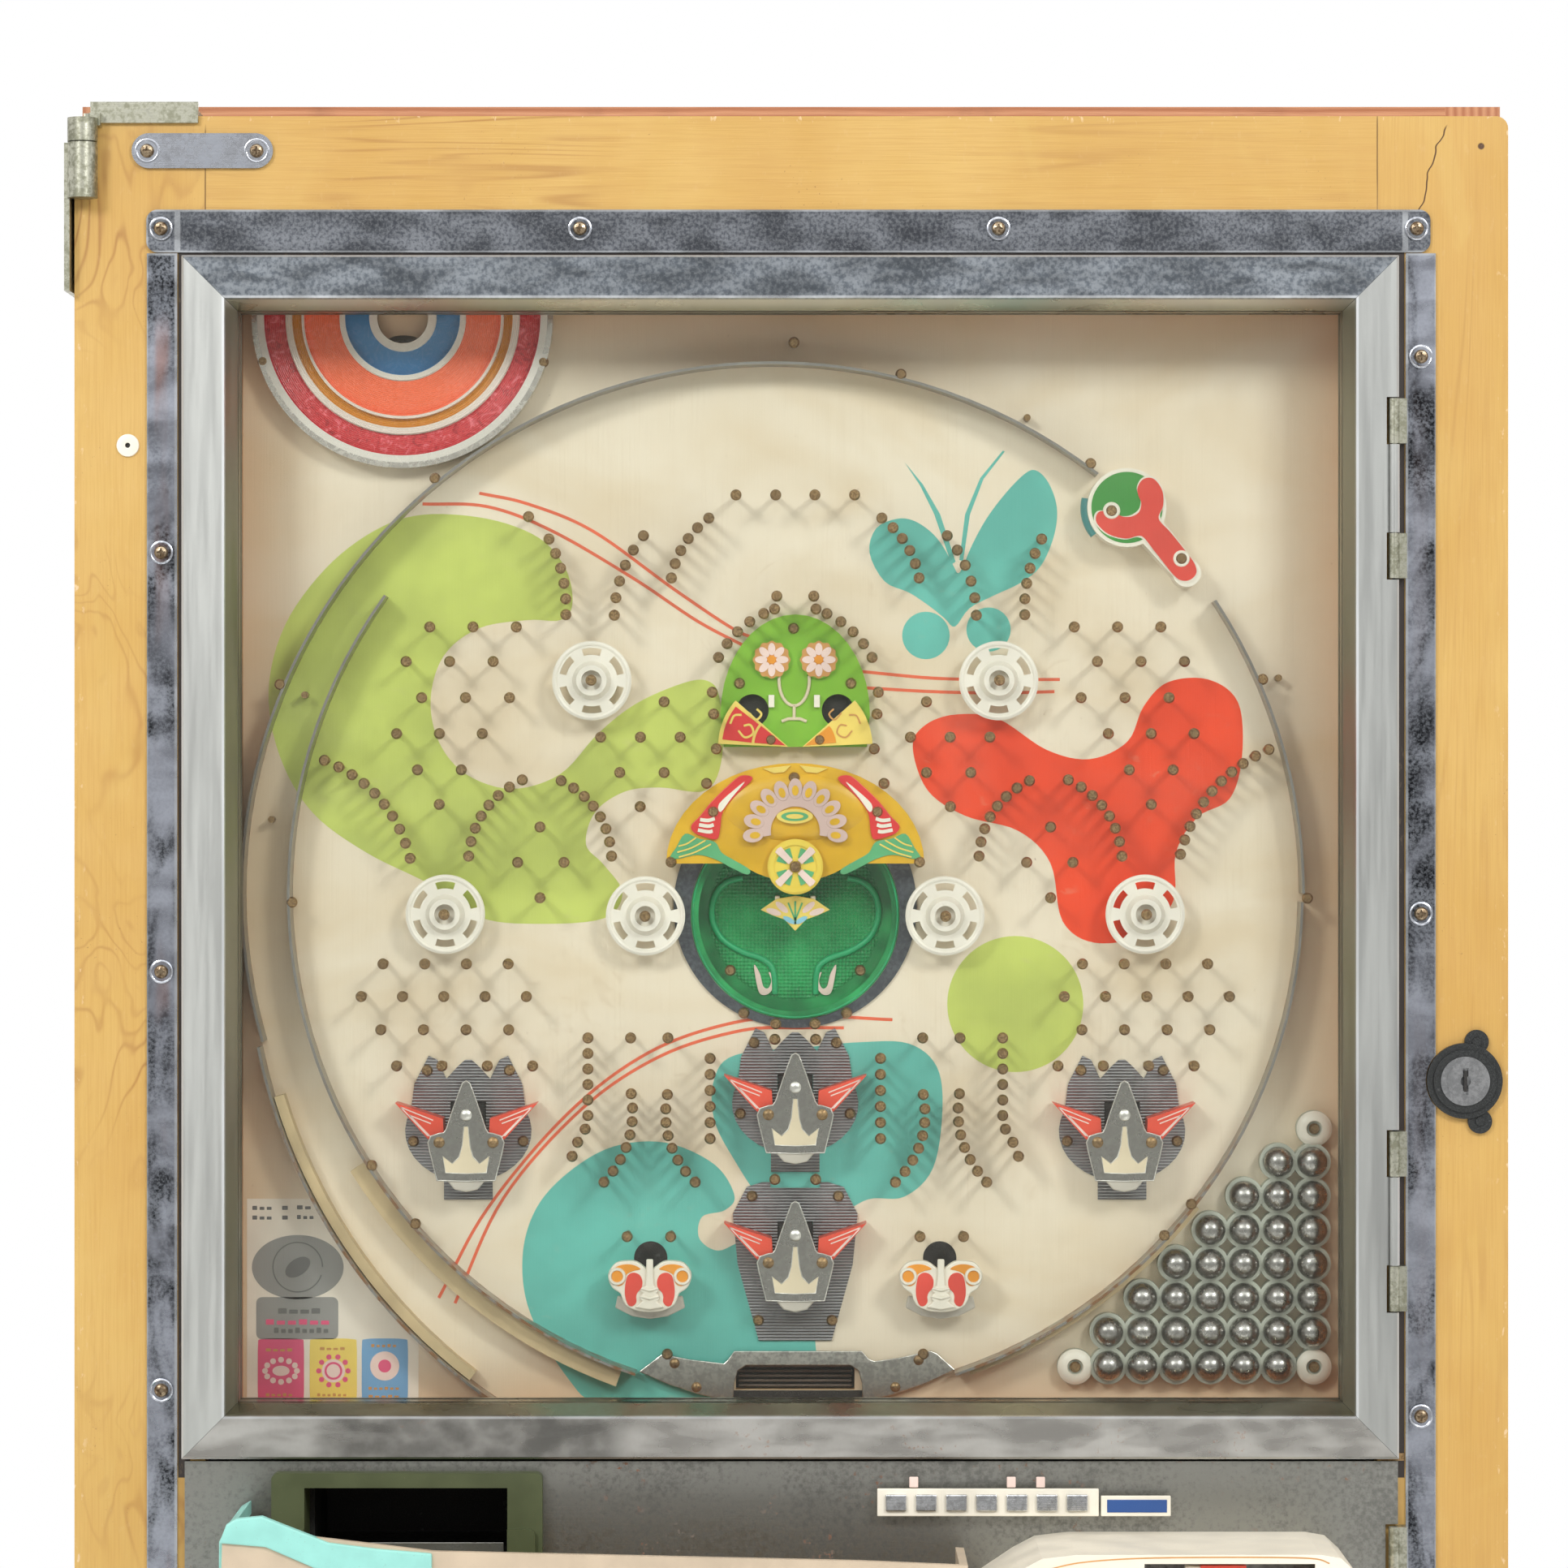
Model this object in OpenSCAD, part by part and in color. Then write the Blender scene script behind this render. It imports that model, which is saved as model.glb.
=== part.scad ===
// Upright pachinko machine: a wooden outer frame with a hinged wooden front door
// that carries the glass door, the playfield, the ball trays and the shooter.
// X is to the player's right, the player stands on the -Y side, Z is up.
// The origin is the middle of the underside of the outer frame.

/* [Outer frame] */
// Width of the outer frame
frame_w = 520; // [500:1:540]
// Height of the outer frame
frame_h = 810; // [790:1:830]
// Depth of the outer frame
frame_d = 100; // [90:1:120]
// Thickness of the frame boards
board_t = 20; // [18:1:22]
// Spacing of the screw holes in the top and bottom boards
rack_hole_spacing = 400; // [300:10:420]
// Radius of those screw holes
rack_hole_r = 3.25; // [2.5:0.05:4]

/* [Front door] */
// Thickness of the door boards
door_t = 22; // [20:1:24]
// Running gap between the door and the outer frame
door_gap = 1; // [0.8:0.1:2]
// Height of the door's lower edge above the floor
door_foot = 6; // [4:0.5:8]
// Distance from the door's top edge down from the frame's top
door_head = 6.2; // [5:0.1:8]
// Width of the door stiles
stile_w = 47.5; // [45:0.5:50]
// Height of the door's top rail
top_rail_h = 57.8; // [55:0.1:60]
// Height of the door's bottom rail
bottom_rail_h = 32; // [28:1:36]

/* [Playfield] */
// Height of the play circle's centre above the floor
play_z = 521.3; // [518:0.1:524]
// Sideways place of the play circle's centre
play_x = 1.5; // [0:0.1:3]
// Radius of the inner ball rail
play_r = 186; // [184:0.5:187]
// Radius of the outer ball rail
outer_rail_r = 194.8; // [194:0.1:195.5]
// Distance from the front of the door to the playfield
play_depth = 42; // [40:1:44]
// Thickness of the playfield board
play_t = 19; // [17:1:19]
// How far a nail stands out of the playfield
nail_out = 17.5; // [16:0.5:18]
// Radius of a nail's shank
nail_r = 1; // [0.8:0.05:1.1]
// Radius of a nail's head
nail_head_r = 2.05; // [1.8:0.05:2.2]
// Radius of a steel ball
ball_r = 5.5; // [5.4:0.05:5.5]
// Distance between the balls in the rack
ball_pitch = 12.55; // [12.4:0.05:12.8]

/* [Moving parts] */
// Radius of a windmill
windmill_r = 14.6; // [14:0.1:15]
// Distance from a tulip's middle to each wing's pivot
tulip_pivot = 9.84; // [9.8:0.01:10]
// Radius of the lock cylinder
lock_r = 8.9; // [8.5:0.1:9.2]
// Travel of the lock bar
lock_travel = 10; // [8:1:10]

/* [Glass door] */
// Width of the glass door
glass_w = 440.2; // [439:0.1:441]
// Height of the glass door
glass_h = 435.3; // [434:0.1:436]
// Width of the flat face of its frame
glass_face = 15.5; // [14:0.5:16]
// Thickness of each pane
pane_t = 3; // [2:0.5:3]

/* [Hidden] */
$fn = 48;

// Depth planes, from the player's side to the back
frame_front = -frame_d / 2;
door_back = frame_front - door_gap;
door_front = door_back - door_t;
board_front = door_front + play_depth;
board_back = board_front + play_t;
panel_front = door_front - 3;
panel_back = door_front - 1.5;
trim_front = door_front - 1.2;

// Door outline and opening
door_top = frame_h - door_head;
door_h = door_top - door_foot;
open_x = frame_w / 2 - stile_w;
open_top = door_top - top_rail_h;
open_bottom = door_foot + bottom_rail_h;

// Door hinge
hinge_x = -256.3;
hinge_y = door_front - 6;
hinge_r = 5.45;
hinge_pin_r = 2.5;
knuckle_split = door_top - 10.3;
knuckle_gap = 0.4;

// Side hinges of the glass door and the tray door
side_x = 218;
side_y = door_front - 6;
side_r = 2.05;
side_pin_r = 1;
run = 0.05;
glass_barrels = [636, 371];
tray_barrel = 228;
barrel_l = 65;

// Glass door
glass_left = -220.5;
glass_bottom = 317.5;
glass_front = door_front - 7;
glass_back = board_front - 22;
glass_lip = glass_face + 3.9;
pane_bite = 2;
front_pane_y = glass_front + 10;
rear_pane_y = glass_back - 6;

// Playfield
box_half_w = 203;
box_wall = 16;
box_bottom = 332;
box_top = 738;
outer_rail_x = -8.4;
rail_t = 1;
rail_h = 14;
plate_y = board_front - 1;
nail_bury = 12;
pin_r = 1.15;
pin_out = 18.5;
lamp_x = -145;
lamp_z = 212.5;
dish_z = -8.1;
dish_r = 38.8;
spinner_z = 9.9;
wing_front = board_front - 13.8;
wing_back = plate_y - 0.2;
tulip_front = board_front - 15;

// Tulip middles, and windmill middles, from the play circle's centre
tulip_left = [-121, -89.8];
tulip_right = [121, -89.8];
tulip_centre = [0, -79.6];
tulip_lower = [0, -134];
mill_upper = [75, 78.4];
mill_outer = [129, -7.7];
mill_inner = [55.2, -8.3];
pocket_x = 53.5;
pocket_z = -140.7;

// Lock
lock_x = 244;
lock_z = 454;
lock_plate_r = 13.7;
cam_off = 5;
bar_bottom = 250;
bar_top = 600;

// Lower part of the door
tray_top = 316.3;
tray_bottom = 205;
panel_top = tray_bottom - 2;
panel_bottom = 34;
panel_half_w = 219.7;
shoot_x = 168;
shoot_z = 100;
ash_x = -168;
ash_pivot_z = 62;
tray_out = 60;
mech_x = -213;
mech_y = 5;

// ---------- helpers ----------

// A flat shape drawn in X and Z becomes a slab between two depths
module slab(y_front, y_back) {
    translate([0, y_back, 0])
        rotate([90, 0, 0])
            linear_extrude(y_back - y_front)
                children();
}

// Round bar along Y
module rod(x, z, r, y_front, y_back) {
    translate([x, y_back, z])
        rotate([90, 0, 0])
            cylinder(r = r, h = y_back - y_front);
}

// Box given by its limits
module block(x, y, z) {
    translate([x[0], y[0], z[0]])
        cube([x[1] - x[0], y[1] - y[0], z[1] - z[0]]);
}

// Rectangle with round corners, from its lower left corner
module rounded(size, r) {
    translate([r, 0])
        square([size[0] - 2 * r, size[1]]);
    translate([0, r])
        square([size[0], size[1] - 2 * r]);
    for (x = [r, size[0] - r], z = [r, size[1] - r])
        translate([x, z])
            circle(r = r);
}

// Curved strip around a centre in the playfield plane, between two angles
module arc_band(r_in, r_out, from, to, y_front, y_back) {
    translate([0, y_back, 0])
        rotate([90, 0, 0])
            rotate([0, 0, from])
                rotate_extrude(angle = to - from, $fn = 96)
                    translate([r_in, 0])
                        square([r_out - r_in, y_back - y_front]);
}

// Moves its children to the play circle's centre
module at_play() {
    translate([play_x, 0, play_z])
        children();
}

// Keeps its children and adds their mirror image across the playfield
module both_sides() {
    children();
    mirror([1, 0, 0])
        children();
}

// Keeps its children and adds their mirror image at the door's other end
module both_ends() {
    children();
    translate([0, 0, door_top + door_foot])
        mirror([0, 0, 1])
            children();
}

// Points on a shallow bow from a to b, n of them, with its middle raised by h
function bow(a, b, n, h) = n == 1 ? [a] :
    let (d = b - a, side = [-d[1], d[0]] / norm(d))
    [for (i = [0:n - 1]) let (t = i / (n - 1)) a + d * t + side * 4 * h * t * (1 - t)];

// Centre of the circle through three points
function circle_centre(a, b, c) =
    let (d = 2 * (a[0] * (b[1] - c[1]) + b[0] * (c[1] - a[1]) + c[0] * (a[1] - b[1])),
        aa = a * a, bb = b * b, cc = c * c)
    [(aa * (b[1] - c[1]) + bb * (c[1] - a[1]) + cc * (a[1] - b[1])) / d,
        (aa * (c[0] - b[0]) + bb * (a[0] - c[0]) + cc * (b[0] - a[0])) / d];

// Points along an elliptical arc
function arc_points(c, rx, rz, from, to, n) =
    [for (i = [0:n]) let (a = from + (to - from) * i / n) c + [rx * cos(a), rz * sin(a)]];

function mirrored(points) = [for (i = [len(points) - 1:-1:0]) [-points[i][0], points[i][1]]];

// ---------- outer frame ----------

module outer_frame() {
    color([0.78, 0.55, 0.40]) {
        for (z = [0, frame_h - board_t])
            difference() {
                block([-frame_w / 2, frame_w / 2], [-frame_d / 2, frame_d / 2], [z, z + board_t]);
                for (x = [-1, 1])
                    translate([x * rack_hole_spacing / 2, 0, z - 1])
                        cylinder(r = rack_hole_r, h = board_t + 2);
            }
        for (x = [-frame_w / 2, frame_w / 2 - board_t])
            block([x, x + board_t], [-frame_d / 2, frame_d / 2], [board_t, frame_h - board_t]);
    }
}

module frame_hinges() {
    leaf_x = -frame_w / 2 - 3;
    leaf_bottom = knuckle_split - 53.5;
    color([0.55, 0.56, 0.48])
        both_ends() {
            block([leaf_x, leaf_x + 2], [hinge_y, -20], [leaf_bottom, knuckle_split]);
            block([leaf_x, -frame_w / 2], [frame_front + 0.5, -20], [leaf_bottom, knuckle_split]);
            translate([hinge_x, hinge_y, knuckle_split - 20])
                cylinder(r = hinge_r, h = 20);
            translate([hinge_x, hinge_y, knuckle_split - 1])
                cylinder(r = hinge_pin_r, h = 9.5);
            translate([leaf_x + 0.5, -66, leaf_bottom + 6])
                rotate([0, -90, 0])
                    cylinder(r = 2.2, h = 1.3);
        }
}

// ---------- front door ----------

module stile(mirror_it) {
    corner = 4.4;
    mirror([mirror_it ? 1 : 0, 0, 0])
        slab(door_front, door_back)
            translate([open_x, door_foot])
                rounded([stile_w, door_h], corner);
    mirror([mirror_it ? 1 : 0, 0, 0])
        block([open_x, open_x + 2 * corner], [door_front, door_back], [door_foot, door_top]);
}

module door_frame() {
    color([0.90, 0.73, 0.42]) {
        stile(true);
        difference() {
            stile(false);
            rod(lock_x, lock_z, lock_r + 1.1, door_front - 1, door_back + 1);
            block([lock_x - 16, lock_x - 2], [door_back - 6, door_back + 1],
                [bar_bottom - lock_travel, bar_top + 2 * lock_travel]);
        }
        block([-open_x, open_x], [door_front, door_back], [open_top, door_top]);
        block([-open_x, open_x], [door_front, door_back], [door_foot, open_bottom]);
    }
}

module door_hinge_leaves() {
    plate_x = [-254, -215];
    ring_bottom = knuckle_split + knuckle_gap;
    ring_top = knuckle_split + 8.9;
    color([0.50, 0.50, 0.42])
        both_ends()
            difference() {
                union() {
                    block(plate_x, [door_front - 2, door_front], [door_top - 2.6, door_top + 5]);
                    block(plate_x, [door_front - 2, door_front + 16], [door_top, door_top + 2]);
                    block([hinge_x, plate_x[0] + 4], [hinge_y, door_front], [door_top - 4, ring_top + 2]);
                    translate([hinge_x, hinge_y, ring_bottom])
                        cylinder(r = hinge_r, h = ring_top - ring_bottom);
                }
                translate([hinge_x, hinge_y, ring_bottom - 1])
                    cylinder(r = hinge_pin_r + run, h = 30);
            }
}

module mending_plate() {
    color([0.80, 0.81, 0.82])
        slab(door_front - 1.5, door_front)
            difference() {
                translate([-239.1, 784.8])
                    rounded([51.2, 12.7], 6.3);
                for (x = [-233.5, -193.8])
                    translate([x, 791.1])
                        circle(r = 1.6);
            }
}

trim_screw_z = [645.5, 493.6, 341.9, 190, 60];
right_screw_z = [716.5, 514.6, 332.5, 150];
top_screw_x = [-228.5, -76.6, 75.1, 226.7];

module trim_dimple(x, z) {
    rod(x, z, 4.1, trim_front - 0.8, trim_front + 0.2);
}

module trim_strips() {
    color([0.62, 0.65, 0.70]) {
        slab(trim_front, door_front)
            translate([-233.8, 754.3])
                rounded([465.5, 15.5], 4);
        for (x = top_screw_x)
            trim_dimple(x, 762.9);
        block([-233.6, -222.6], [trim_front, door_front], [panel_bottom, 754]);
        for (z = trim_screw_z)
            trim_dimple(-228.3, z);
        difference() {
            block([222.7, 233.6], [trim_front, door_front], [panel_bottom, 754]);
            rod(lock_x, lock_z, lock_plate_r + 0.3, trim_front - 1, door_front + 1);
        }
        for (z = right_screw_z)
            trim_dimple(228.2, z);
    }
}

// Round-headed cross-slot screw whose head rests at depth y
module face_screw(x, z, y) {
    head = 2.5;
    translate([x, y, z])
        rotate([90, 0, 0])
            difference() {
                rotate_extrude()
                    polygon([[0, -14], [1.5, -12], [1.5, 0], [head, 0], [head, 0.4],
                        [head * 0.8, 1.1], [head * 0.4, 1.4], [0, 1.4]]);
                for (turn = [0, 90])
                    rotate([0, 0, turn])
                        translate([-1.5, -0.3, 0.6])
                            cube([3, 0.6, 2]);
            }
}

module face_screws() {
    dimple = trim_front - 0.8;
    color([0.60, 0.50, 0.36]) {
        for (x = top_screw_x)
            face_screw(x, 762.9, dimple);
        for (z = trim_screw_z)
            face_screw(-228.3, z, dimple);
        for (z = right_screw_z)
            face_screw(228.2, z, dimple);
        for (x = [-233.5, -193.8])
            face_screw(x, 791.1, door_front - 1.5);
    }
}

// Fixed half of a side hinge: a pin with a knuckle at each end
module fixed_barrel(z) {
    knuckle_l = barrel_l / 4;
    translate([side_x, side_y, z])
        cylinder(r = side_pin_r, h = barrel_l);
    for (low = [z, z + barrel_l - knuckle_l]) {
        translate([side_x, side_y, low])
            cylinder(r = side_r, h = knuckle_l);
        block([side_x + 1, 222.5], [side_y - 1, door_front], [low, low + knuckle_l]);
    }
}

// Turning half: a tube between the two fixed knuckles, joined to the door on its left
module moving_barrel(z, back) {
    knuckle_l = barrel_l / 4;
    low = z + knuckle_l + 0.3;
    high = z + barrel_l - knuckle_l - 0.3;
    difference() {
        union() {
            translate([side_x, side_y, low])
                cylinder(r = side_r, h = high - low);
            block([side_x - 4, side_x], [side_y, back], [low, high]);
        }
        translate([side_x, side_y, low - 1])
            cylinder(r = side_pin_r + run, h = high - low + 2);
    }
}

// Room around a side hinge, cut from the edge of a door
module barrel_notch(z) {
    block([side_x - 2.8, side_x + 5], [side_y - 5, door_front + 1], [z - 0.5, z + barrel_l + 0.5]);
}

// Fixed leaf of the mechanism panel's hinge, on the side of the inner box
module mech_leaf(z) {
    wall = -box_half_w - box_wall;
    block([wall - 2, wall], [board_front, mech_y], [z, z + 24]);
    block([wall - 2, mech_x], [mech_y - 2, mech_y + 2], [z, z + 24]);
    translate([mech_x, mech_y, z])
        cylinder(r = 4, h = 24);
    translate([mech_x, mech_y, z + 20])
        cylinder(r = 2, h = 24);
}

module side_hinges() {
    color([0.66, 0.64, 0.60]) {
        for (z = concat(glass_barrels, [tray_barrel]))
            fixed_barrel(z);
        for (z = [360, 660])
            mech_leaf(z);
    }
}

// ---------- lock ----------

module lock_escutcheon() {
    ears = [[4.4, 14.1], [5.6, -14.7]];
    color([0.14, 0.15, 0.14])
        translate([lock_x, 0, lock_z])
            difference() {
                union() {
                    rod(0, 0, lock_plate_r, door_front - 2.6, door_front);
                    rod(0, 0, 11.4, door_front - 3.6, door_front);
                    for (e = ears)
                        rod(e[0], e[1], 4.4, door_front - 1.6, door_front);
                    for (e = ears)
                        rod(e[0], e[1], 1.6, door_front - 2.4, door_front);
                }
                rod(0, 0, lock_r + run, door_front - 5, door_front + 1);
            }
}

module lock_cylinder() {
    color([0.78, 0.78, 0.78])
        translate([lock_x, 0, lock_z]) {
            difference() {
                union() {
                    rod(0, 0, lock_r, door_front - 4.2, door_back - 6.3);
                    rod(0, 0, lock_r - 2.2, door_front - 4.8, door_front);
                }
                block([-1, 1], [door_front - 6, door_front - 1], [-4.8, 4.8]);
                rod(0, 0, 1.9, door_front - 6, door_front - 1);
            }
            rod(-cam_off, -cam_off, 2, door_back - 7, door_back - 1.5);
        }
}

module lock_bar() {
    bar_x = [lock_x - 15, lock_x - 3];
    bar_y = [door_back - 5.5, door_back - 2.5];
    hook_h = 12;
    color([0.70, 0.70, 0.68])
        difference() {
            union() {
                block(bar_x, bar_y, [bar_bottom, bar_top]);
                for (z = [bar_bottom, bar_top - hook_h])
                    block([bar_x[0], bar_x[0] + 8], [bar_y[0], frame_front + 12], [z, z + hook_h]);
            }
            block([lock_x - 9.6, lock_x], [bar_y[0] - 1, bar_y[1] + 1],
                [lock_z - cam_off - 2.4, lock_z - cam_off + 2.4]);
        }
}

// ---------- playfield ----------

module inner_box() {
    outer_x = box_half_w + box_wall;
    color([0.72, 0.47, 0.27])
        difference() {
            block([-outer_x, outer_x], [door_back, board_back], [box_bottom - box_wall, box_top + box_wall]);
            block([-box_half_w, box_half_w], [door_back - 1, board_back + 1], [box_bottom, box_top]);
        }
}

module playfield_board() {
    color([0.93, 0.87, 0.77])
        difference() {
            block([-box_half_w, box_half_w], [board_front, board_back], [box_bottom, box_top]);
            at_play() {
                rod(lamp_x, lamp_z - 20, 14, board_front - 1, board_back + 1);
                rod(0, dish_z, dish_r - 1.1, board_front - 1, board_back + 1);
                block([-22, 22], [board_front - 1, board_back + 1], [-184, -175]);
                both_sides()
                    rod(15.8, 67.5, 6, board_front - 1, board_back + 1);
                for (t = [tulip_left, tulip_right, tulip_centre, tulip_lower])
                    translate([t[0], 0, t[1]])
                        block([-6.6, 6.6], [board_front - 1, board_back + 1], [1.5, 16.8]);
                both_sides()
                    rod(pocket_x, pocket_z + 4, 6, board_front - 1, board_back + 1);
            }
        }
}

outer_low = [-197.5, -54.4];
ramp_mid = [-167.7, -128.7];
ramp_end = [-108.6, -188.1];
ramp_centre = circle_centre(outer_low, ramp_mid, ramp_end);
ramp_r = norm(outer_low - ramp_centre);
function angle_from(c, p) = let (a = atan2(p[1] - c[1], p[0] - c[0])) a < 0 ? a + 360 : a;

module guide_rails() {
    rail_front = board_front - rail_h;
    color([0.62, 0.61, 0.58])
        at_play() {
            arc_band(play_r, play_r + rail_t, 144, 251.6, rail_front, board_front);
            arc_band(play_r, play_r + rail_t, 288.4, 359, rail_front, board_front);
            translate([outer_rail_x, 0, 0]) {
                arc_band(outer_rail_r, outer_rail_r + rail_t, 0, 33.5, rail_front, board_front);
                arc_band(outer_rail_r, outer_rail_r + rail_t, 52.2, 196.2, rail_front, board_front);
            }
            translate([ramp_centre[0], 0, ramp_centre[1]])
                arc_band(ramp_r, ramp_r + rail_t, angle_from(ramp_centre, outer_low) + 0.6,
                    angle_from(ramp_centre, ramp_end), rail_front, board_front);
        }
}

module lane_ledges() {
    color([0.84, 0.76, 0.60])
        at_play() {
            arc_band(play_r + rail_t + 0.3, play_r + 7.5, 212, 250, board_front - 9, board_front);
            arc_band(play_r + rail_t + 0.3, play_r + 3, 290, 322, board_front - 9, board_front);
            translate([ramp_centre[0], 0, ramp_centre[1]])
                arc_band(ramp_r - 4, ramp_r - 0.3, angle_from(ramp_centre, outer_low) + 6,
                    angle_from(ramp_centre, ramp_end) - 4, board_front - 9, board_front);
        }
}

// Nails that stand in mirrored pairs: start, end, count and bow of each row
paired_rows = [
    [[31.8, 138], [45.5, 116], 6, 2.5],
    [[55.8, 131.5], [66.5, 102.3], 6, 2.6],
    [[90.5, 130.3], [84.3, 102.5], 6, -1.9],
    [[7.2, 146.5], [21.8, 146.5], 2, 0],
    [[6.8, 109.3], [7.6, 104.6], 2, 0],
    [[11.6, 102.9], [28.2, 86.8], 5, 1.9],
    [[30.5, 74], [30, 66], 2, 0],
    [[29, 53.2], [32.6, 40.5], 2, 0],
    [[100.3, 41.8], [120, 13.8], 8, 4.8],
    [[86, 41.5], [67.5, 13.8], 8, -4.7],
    [[102.5, 98], [134.3, 98], 3, 0],
    [[111, 85.3], [143, 85.3], 3, 0],
    [[105, 72], [137.3, 72], 3, 0],
    [[115, 58.8], [146.5, 58.8], 3, 0],
    [[122.7, 45.5], [138.8, 45.5], 2, 0],
    [[130.8, 32.8], [130.8, 32.8], 1, 0],
    [[48.2, 70.5], [48.2, 70.5], 1, 0],
    [[42.3, 57.5], [71.5, 57.5], 3, 0],
    [[48.2, 44.5], [64.5, 44.5], 2, 0],
    [[57, 32], [57, 32], 1, 0],
    [[105.5, -25.8], [151.5, -25.8], 4, 0],
    [[98.8, -37.8], [159.5, -37.8], 5, 0],
    [[105.3, -50], [152.3, -50], 4, 0],
    [[96.5, -63.3], [146.5, -63.3], 4, 0],
    [[93.8, 24.5], [93.8, -1.5], 2, 0],
    [[85, 11.5], [102, 11.5], 2, 0],
    [[76.2, -53], [76.2, -81.5], 6, 0],
    [[77.2, -86.5], [82, -96.5], 3, 0.4],
    [[60.3, -73.5], [70.3, -106], 8, -4.1],
    [[47, -73.8], [36.8, -106], 8, 4.4],
    [[31.3, -60.5], [31.3, -90], 6, 0],
    [[46.8, -53], [60.5, -53], 2, 0],
    [[7.2, -47.8], [7.5, -53.5], 2, 0],
    [[7.5, -105], [7.5, -105], 1, 0],
    [[45.8, -126], [61.8, -126], 2, 0]
];
left_rows = [[[-173, 49], [-141.5, 13], 10, 6]];
right_rows = [[[174, 53], [141.5, 14.5], 11, -6.1]];
lone_nails = [[-0.5, 202.5], [-98, 138.5]];

// Nails that hold a plate: place and height of the head above the playfield
paired_plate_nails = [[20.6, 77.5, 5.2], [9, 56.6, 9.2], [30.2, 30.1, 15.2], [45.7, 11.6, 14.2],
    [24, -28.6, 5.2], [19, -44.4, 3.2], [47.3, -170.4, 5.2]];
lone_plate_nails = [[-0.6, 97.8, 5.2], [-0.4, 42.6, 15.2], [-196.5, 196.3, 8.2], [-93, 196, 8.2],
    [116.3, 140.8, 15.7], [142, 123.2, 15.7], [103.4, -175, 6.8], [191.6, -175, 6.8],
    [191.7, -87, 6.8]];
outer_pins = [-0.5, 23.6, 53.5, 76.1, 129.1, 157];
inner_pins = [181, 212.7, 221, 317.2, 321.9];

function mirror_points(points) = [for (p = points) each [p, concat([-p[0]], [for (i = [1:len(p) - 1]) p[i]])]];
function row_points(rows) = [for (r = rows) each bow(r[0], r[1], r[2], r[3])];
function polar(r, a) = r * [cos(a), sin(a)];

// Short tacks that hold the tulip back plates, from the play circle's centre
tack_out = 2.3;
crown_tacks = [for (t = [tulip_left, tulip_right, tulip_centre], x = [-1, 1], c = [[15.2, 24.1], [20.3, -2.1]])
    [t[0] + x * c[0], t[1] + c[1], tack_out]];
shield_tacks = [for (x = [-1, 1], c = [[16, 21.8], [13.6, -24.2]])
    [tulip_lower[0] + x * c[0], tulip_lower[1] + c[1], tack_out]];
pocket_nails = mirror_points([for (x = [-12, 12]) [pocket_x + x, pocket_z, 14.2]]);
field_nails = concat(mirror_points(row_points(paired_rows)), row_points(left_rows),
    row_points(right_rows), lone_nails);
plate_nails = concat(mirror_points(paired_plate_nails), lone_plate_nails, crown_tacks, shield_tacks,
    pocket_nails);
pins = concat(mirror_points([mill_upper, mill_outer, mill_inner]), [[0, spinner_z]]);
rail_pins = concat([for (a = outer_pins) [outer_rail_x, 0] + polar(outer_rail_r + 2, a)],
    [for (a = inner_pins) polar(play_r - 0.8, a)]);

// Brass nail with a tapered head; its front is at height out above the board
module nail(p, out, shank = nail_r) {
    head_t = 1.2;
    translate([p[0], board_front, p[1]])
        rotate([90, 0, 0]) {
            translate([0, 0, -nail_bury])
                cylinder(r = shank, h = nail_bury + out - head_t, $fn = 24);
            translate([0, 0, out - head_t])
                cylinder(r1 = nail_head_r, r2 = nail_head_r * 0.7, h = head_t, $fn = 24);
        }
}

module playfield_nails() {
    color([0.58, 0.49, 0.33])
        at_play() {
            for (p = field_nails)
                nail(p, nail_out);
            for (p = plate_nails)
                nail(p, p[2]);
            for (p = pins)
                nail(p, pin_out, pin_r);
            for (p = rail_pins)
                nail(p, rail_h + 0.6, 0.8);
        }
}

// Stepped round lens, cut flat where it meets the top of the box
module lamp_lens() {
    steps = [[9.3, 12.3, 5], [12.3, 21, 4], [21, 23.1, 6], [23.1, 36, 5], [36, 37.3, 6.5],
        [37.3, 40.6, 4.5], [40.6, 43, 7], [43, 50.8, 5.5], [50.8, 55.6, 8]];
    color([0.85, 0.20, 0.20])
        at_play()
            difference() {
                translate([lamp_x, board_front, lamp_z])
                    rotate([90, 0, 0])
                        rotate_extrude($fn = 96)
                            for (s = steps)
                                translate([s[0], 0])
                                    square([s[1] - s[0], s[2]]);
                block([lamp_x - 70, lamp_x + 70], [board_front - 20, board_front + 1],
                    [box_top - play_z, box_top - play_z + 60]);
            }
}

module return_bumper() {
    head = [122, 142];
    tail = [144, 118];
    reach = tail - head;
    color([0.90, 0.35, 0.28])
        at_play() {
            rod(head[0], head[1], 14.5, board_front - 14, board_front);
            rod(tail[0], tail[1], 5.2, board_front - 14, board_front);
            translate([head[0], 0, head[1]])
                rotate([0, -atan2(reach[1], reach[0]), 0])
                    block([0, norm(reach)], [board_front - 14, board_front], [-4.6, 4.6]);
        }
}

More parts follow.
